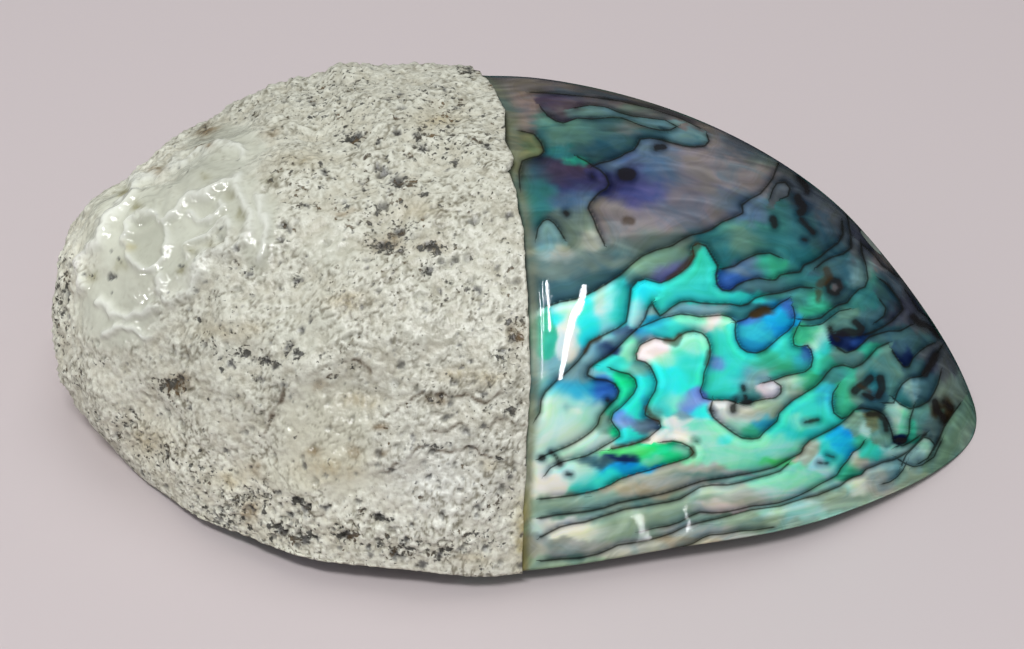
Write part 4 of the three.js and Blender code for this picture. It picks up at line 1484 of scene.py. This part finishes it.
# Height of the crust's fine relief over the broad one, and its marks
def crust_detail(points, places, shown, reach, column):
    noises = {
        name: noise_field(points + shift, size, octaves)
        for name, (shift, size, octaves) in CRUST_NOISES.items()
    }
    noises["crumb"] = np.abs(noises["crumb"])
    noises["step"] = smooth(np.abs(noises["flake"]), 0.0, FLAKE_STEP)
    wandered = places + WANDER * np.stack([noises["wander"], noises["drift"]], axis=1)
    glaze = np.zeros(len(points))
    for *oval, strength in GLAZE:
        square = oval_square(wandered, *oval) + GLAZE_WANDER * noises["wander"]
        glaze = np.maximum(glaze, strength * falling(square, *GLAZE_RANGE))
    glaze = glaze * shown
    rough = 1.0 - GLAZE_EVENS * glaze
    right, down = places.T
    wild = smooth(down, *WILD_BELOW) + falling(right, *WILD_LEFT)
    wild = wild + WILD_ABOVE_SHARE * falling(down, *WILD_ABOVE)
    wild = mix(CALM, WILD, np.clip(wild, 0.0, 1.0)) * rough
    relief = wild * (sum(height * noises[name] for name, height in RELIEF.items()) + RELIEF_BASE)
    relief = relief + GLAZE_RELIEF * glaze * noises["swell"]
    hole, pit_shade = crust_pits(points, places, shown, glaze, noises)
    cluster = np.zeros(len(points))
    for x, y, half_x, half_y, strength in CLUSTERS:
        share = oval_share(wandered, x, y, CLUSTER_SPREAD * half_x, CLUSTER_SPREAD * half_y)
        cluster = np.maximum(cluster, share * shown * strength)
    crack = np.zeros(len(points))
    broken = smooth(noises["broken"], *CRACK_BREAKS)
    for width, line in CRACKS:
        away, signed, _, _ = from_line(wandered, line)
        core = bell(away, CRACK_LEAST + CRACK_WIDTH * width * broken) * mix(CRACK_FAINTEST, 1.0, broken)
        crack = np.maximum(crack, core * shown)
        relief = relief + CRACK_LIP * shown * np.where(signed > 0, np.exp(-away / CRACK_LIP_RUN), 0.0)
    hole = np.maximum(hole, CRACK_DEPTH * crack + CLUSTER_DEPTH * cluster)
    tube = np.zeros(len(points))
    for width, line in TUBES:
        tube = np.maximum(tube, bell(from_line(wandered, line)[0], width) * shown)
    scar = falling(oval_square(places, *SCAR), *SCAR_RANGE) * shown
    relief = mix(relief, SCAR_LEVEL, SCAR_FLATNESS * scar) + TUBE_HEIGHT * tube - hole
    relief = relief + KNOB_HEIGHT * oval_share(places, *KNOB) * shown
    relief = relief * mix(1.0, RIM_RELIEF, smooth(reach, *RIM_RELIEF_RANGE))
    relief = relief * mix(EDGE_RELIEF, 1.0, smooth(-column, 0.0, EDGE_RELIEF_RUN))
    marks = {"glaze": glaze, "rough": rough, "tube": tube, "scar": scar, "crack": crack, "pit_shade": pit_shade}
    marks["colour"] = crust_colour(places, wandered, shown, noises, marks)
    clean = falling(right, *CLEAN_LEFT) * falling(down, *CLEAN_ABOVE) * shown
    marks["cluster"] = cluster - CLEANING * clean * (1.0 - cluster)
    return relief, marks


def solid(colour):
    return (*linear(colour), 1.0)


# A material and the nodes that are added to it
class Graph:
    def __init__(self, name):
        self.material = bpy.data.materials.new(name)
        self.material.use_nodes = True
        self.nodes = self.material.node_tree.nodes
        self.links = self.material.node_tree.links
        self.shader = next(node for node in self.nodes if node.type == "BSDF_PRINCIPLED")

    def feed(self, socket, value):
        if isinstance(value, bpy.types.NodeSocket):
            self.links.new(value, socket)
        else:
            socket.default_value = value

    def place(self):
        return self.nodes.new("ShaderNodeTexCoord").outputs["Object"]

    def attribute(self, name, output="Fac"):
        node = self.nodes.new("ShaderNodeAttribute")
        node.attribute_name = name
        return node.outputs[output]

    def math(self, operation, first, second=0.0):
        node = self.nodes.new("ShaderNodeMath")
        node.operation = operation
        self.feed(node.inputs[0], first)
        self.feed(node.inputs[1], second)
        return node.outputs[0]

    def times(self, first, second):
        return self.math("MULTIPLY", first, second)

    def plus(self, first, second):
        return self.math("ADD", first, second)

    def minus(self, first, second):
        return self.math("SUBTRACT", first, second)

    def blend(self, kind, share, first, second):
        node = self.nodes.new("ShaderNodeMix")
        node.data_type = "RGBA"
        node.blend_type = kind
        self.feed(node.inputs[MIX_SHARE], share)
        self.feed(node.inputs[MIX_FIRST], first)
        self.feed(node.inputs[MIX_SECOND], second)
        return node.outputs[MIX_RESULT]

    # Noise in space, or uneven stripes across a value when it has one dimension
    def noise(self, name, source, dimensions="3D"):
        node = self.nodes.new("ShaderNodeTexNoise")
        node.noise_dimensions = dimensions
        for socket, value in zip(("Scale", "Detail", "Distortion"), NOISES[name]):
            node.inputs[socket].default_value = value
        self.links.new(source, node.inputs["W" if dimensions == "1D" else "Vector"])
        return node.outputs["Fac"]

    def ramp(self, share, stops):
        node = self.nodes.new("ShaderNodeValToRGB")
        elements = node.color_ramp.elements
        while len(elements) < len(stops):
            elements.new(1.0)
        for element, (place, colour) in zip(elements, stops):
            element.position = place
            element.color = solid(colour)
        self.links.new(share, node.inputs["Fac"])
        return node.outputs["Color"]

    def between(self, value, low, high):
        node = self.nodes.new("ShaderNodeMapRange")
        node.interpolation_type = "SMOOTHSTEP"
        node.inputs["From Min"].default_value = low
        node.inputs["From Max"].default_value = high
        self.links.new(value, node.inputs["Value"])
        return node.outputs["Result"]

    def bump(self, height, strength, distance):
        node = self.nodes.new("ShaderNodeBump")
        node.inputs["Distance"].default_value = distance
        self.feed(node.inputs["Strength"], strength)
        self.links.new(height, node.inputs["Height"])
        self.links.new(node.outputs["Normal"], self.shader.inputs["Normal"])

    def inked(self, colour, name, share):
        kind, ink, strength = INKS[name]
        return self.blend(kind, self.times(share, strength), colour, solid(ink))


# How much of a growth line there is, from the signed distances
def line_share(graph, waver):
    share = None
    for index in range(len(line_groups())):
        thin = graph.times(graph.attribute(f"line_{index}"), waver)
        core = graph.math("EXPONENT", graph.times(graph.times(thin, thin), LINE_CORE))
        share = core if share is None else graph.math("MAXIMUM", share, core)
    return share


def nacre_material():
    graph = Graph("nacre")
    place = graph.place()
    flow = graph.nodes.new("ShaderNodeCombineXYZ")
    graph.feed(flow.inputs["X"], graph.attribute("flow_along"))
    graph.feed(flow.inputs["Y"], graph.attribute("flow_across"))
    apart = graph.attribute("line_near")
    layer = graph.plus(graph.times(apart, LAYER_STEP), graph.times(graph.noise("layer", place), LAYER_DRIFT))
    changes = {
        "fold": graph.noise("fold", flow.outputs["Vector"]),
        "shift": graph.noise("shift", place),
        "echo": graph.noise("echo", layer, "1D"),
        "tint": graph.noise("tint", layer, "1D"),
    }
    colour = graph.attribute("painted", "Color")
    for name, change in changes.items():
        kind, share, stops = TONES[name]
        colour = graph.blend(kind, share, colour, graph.ramp(change, stops))
    ragged = graph.noise("ragged", place)
    halo = graph.math("EXPONENT", graph.times(graph.times(apart, apart), HALO_FALL))
    colour = graph.inked(colour, "halo", graph.times(halo, ragged))
    colour = graph.inked(colour, "deep", graph.attribute("deep"))
    colour = graph.blend("MULTIPLY", graph.attribute("pale"), colour, PALE_GAIN)
    waver = graph.plus(graph.times(graph.noise("width", place), LINE_WAVER), LINE_WAVER_LEAST)
    core = graph.times(line_share(graph, waver), graph.between(apart, *LINE_FADE))
    colour = graph.inked(colour, "line", core)
    colour = graph.inked(colour, "mark_halo", graph.between(graph.attribute("dark_mark"), *MARK_HALO))
    uneven = graph.times(graph.minus(ragged, 0.5), MARK_RAGGED)
    for name, edges in MARK_EDGES.items():
        distance = graph.plus(graph.attribute(name), uneven)
        colour = graph.inked(colour, name, graph.between(distance, *edges))
    phase = graph.plus(graph.times(graph.attribute("growth"), BAND_STEP),
                       graph.times(graph.noise("band", place), BAND_WANDER))
    band = graph.ramp(graph.math("FRACT", phase), HIDDEN_BAND)
    field = graph.ramp(graph.noise("field", place), HIDDEN_FIELD)
    hidden = graph.blend("MULTIPLY", 1.0, field, band)
    colour = graph.blend("MIX", graph.attribute("shown"), hidden, colour)
    graph.feed(graph.shader.inputs["Base Color"], colour)
    graph.bump(graph.noise("ripple", place), RIPPLE_STRENGTH, RIPPLE_DISTANCE)
    graph.shader.inputs["Roughness"].default_value = NACRE_ROUGHNESS
    graph.shader.inputs["Specular Tint"].default_value = NACRE_SPECULAR
    return graph.material


def crust_material():
    graph = Graph("crust")
    place = graph.place()
    glaze = graph.attribute("glaze")
    matte = graph.minus(1.0, graph.times(glaze, GLAZE_COVERS))
    grit = graph.noise("grit", place)
    # Painted shade in the grit's hollows
    colour = graph.blend("MULTIPLY", graph.times(matte, GRIT_SHADE_SHARE), graph.attribute("painted", "Color"),
                         graph.ramp(grit, GRIT_SHADE_TONES))
    patch = graph.between(graph.noise("patch", place), *PATCH_RANGE)
    more = graph.plus(graph.times(graph.attribute("cluster"), CLUSTER_SPECKS), graph.times(patch, PATCH_SPECKS))
    more = graph.minus(more, graph.times(glaze, GLAZE_SPECKS))
    # Dark specks sunk in the bump: dark grains and painted shade in small pits
    speck = graph.between(graph.plus(graph.noise("speck", place), more), *SPECK_RANGE)
    blot = graph.between(graph.plus(graph.noise("blot", place), more), *BLOT_RANGE)
    grains_and_pit_shade = graph.math("MAXIMUM", speck, blot)
    rust = graph.between(graph.noise("rust", place), *RUST_RANGE)
    speck_colour = graph.blend("MIX", rust, solid(SPECK_GREY), solid(RUST))
    colour = graph.blend("MIX", graph.times(grains_and_pit_shade, SPECK_SHARE), colour, speck_colour)
    graph.feed(graph.shader.inputs["Base Color"], colour)
    roughness = graph.minus(CRUST_ROUGHNESS, graph.times(glaze, GLAZE_GLOSS))
    graph.feed(graph.shader.inputs["Roughness"], roughness)
    graph.bump(graph.minus(grit, grains_and_pit_shade), graph.times(matte, GRIT_STRENGTH), GRIT_DISTANCE)
    return graph.material


def make_camera():
    back, right, up = camera_axes()
    data = bpy.data.cameras.new("camera")
    data.sensor_width = SENSOR
    data.sensor_fit = "HORIZONTAL"
    data.lens = FOCAL_PIXELS * SENSOR / IMAGE_WIDTH
    camera = bpy.data.objects.new("camera", data)
    eye = (CAMERA_AIM + back * CAMERA_DISTANCE) * MILLIMETRE
    axes = Matrix((right, up, back)).transposed().to_4x4()
    camera.matrix_world = Matrix.Translation(Vector(eye)) @ axes
    bpy.context.scene.collection.objects.link(camera)
    bpy.context.scene.camera = camera


def area_light(name, size, power):
    data = bpy.data.lights.new(name, "AREA")
    data.shape = "RECTANGLE"
    data.size, data.size_y = size
    data.energy = power
    light = bpy.data.objects.new(name, data)
    bpy.context.scene.collection.objects.link(light)
    return light


def make_light(name, size, power, place, mirrored):
    light = area_light(name, size, power)
    light.data.color = LIGHT_COLOUR
    light.visible_glossy = mirrored
    light.location = place
    light.rotation_euler = (-Vector(place)).to_track_quat("-Z", "Y").to_euler()


# The place from which a light is mirrored at a place of the picture
def mirror_place(x, y, columns):
    column, row, _ = lattice(columns, SEARCH_ROWS)
    reach, side = grid_place(column, row)
    outward = dome_normal(reach, side)
    offset = np.where(column < 0.0, CRUST, nacre_offset(np.maximum(column, 0.0)))
    points = dome_at(reach, side) + outward * offset[..., None]
    normals = np.cross(np.gradient(points, axis=1), np.gradient(points, axis=0))
    normals = normals / np.linalg.norm(normals, axis=-1, keepdims=True)
    normals = normals * np.sign((normals * outward).sum(axis=-1, keepdims=True))
    points = points.reshape(-1, 3)
    nearest = np.linalg.norm(picture_place(points) - np.array([x, y]), axis=1).argmin()
    point = points[nearest]
    normal = normals.reshape(-1, 3)[nearest]
    sight = CAMERA_AIM + camera_axes()[0] * CAMERA_DISTANCE - point
    sight = sight / np.linalg.norm(sight)
    ray = 2.0 * (normal @ sight) * normal - sight
    return (point + ray * STREAK_DISTANCE) * MILLIMETRE, point * MILLIMETRE


def make_streak(name, columns, first, second, width, share):
    start, start_target = mirror_place(*first, columns)
    end, end_target = mirror_place(*second, columns)
    middle = (start + end) / 2
    back = Vector(middle - (start_target + end_target) / 2).normalized()
    along = Vector(end - start)
    length = along.length
    across = back.cross(along).normalized()
    axes = Matrix((across.cross(back), across, back)).transposed().to_4x4()
    light = area_light(name, (length, width), STREAK_RADIANCE * math.pi * length * width * share)
    light.visible_diffuse = False
    light.matrix_world = Matrix.Translation(Vector(middle)) @ axes


def make_floor():
    corners = [(-1, -1), (1, -1), (1, 1), (-1, 1)]
    mesh = bpy.data.meshes.new("floor")
    mesh.from_pydata([(x * FLOOR_HALF, y * FLOOR_HALF, 0) for x, y in corners], [], [(0, 1, 2, 3)])
    graph = Graph("floor")
    graph.shader.inputs["Base Color"].default_value = solid(FLOOR_COLOUR)
    graph.shader.inputs["Roughness"].default_value = FLOOR_ROUGHNESS
    mesh.materials.append(graph.material)
    floor = bpy.data.objects.new("floor", mesh)
    floor.visible_glossy = False
    bpy.context.scene.collection.objects.link(floor)


def make_surroundings():
    make_floor()
    world = bpy.data.worlds.new("studio")
    bpy.context.scene.world = world
    world.use_nodes = True
    background = next(node for node in world.node_tree.nodes if node.type == "BACKGROUND")
    background.inputs["Color"].default_value = WORLD_COLOUR
    background.inputs["Strength"].default_value = WORLD_STRENGTH
    world.cycles_visibility.glossy = False
    for light in LIGHTS:
        make_light(*light)
    for streak in STREAKS:
        make_streak(*streak)


make_camera()
make_surroundings()
make_nacre(nacre_material())
make_crust(crust_material())
bpy.context.scene.view_settings.view_transform = "Standard"
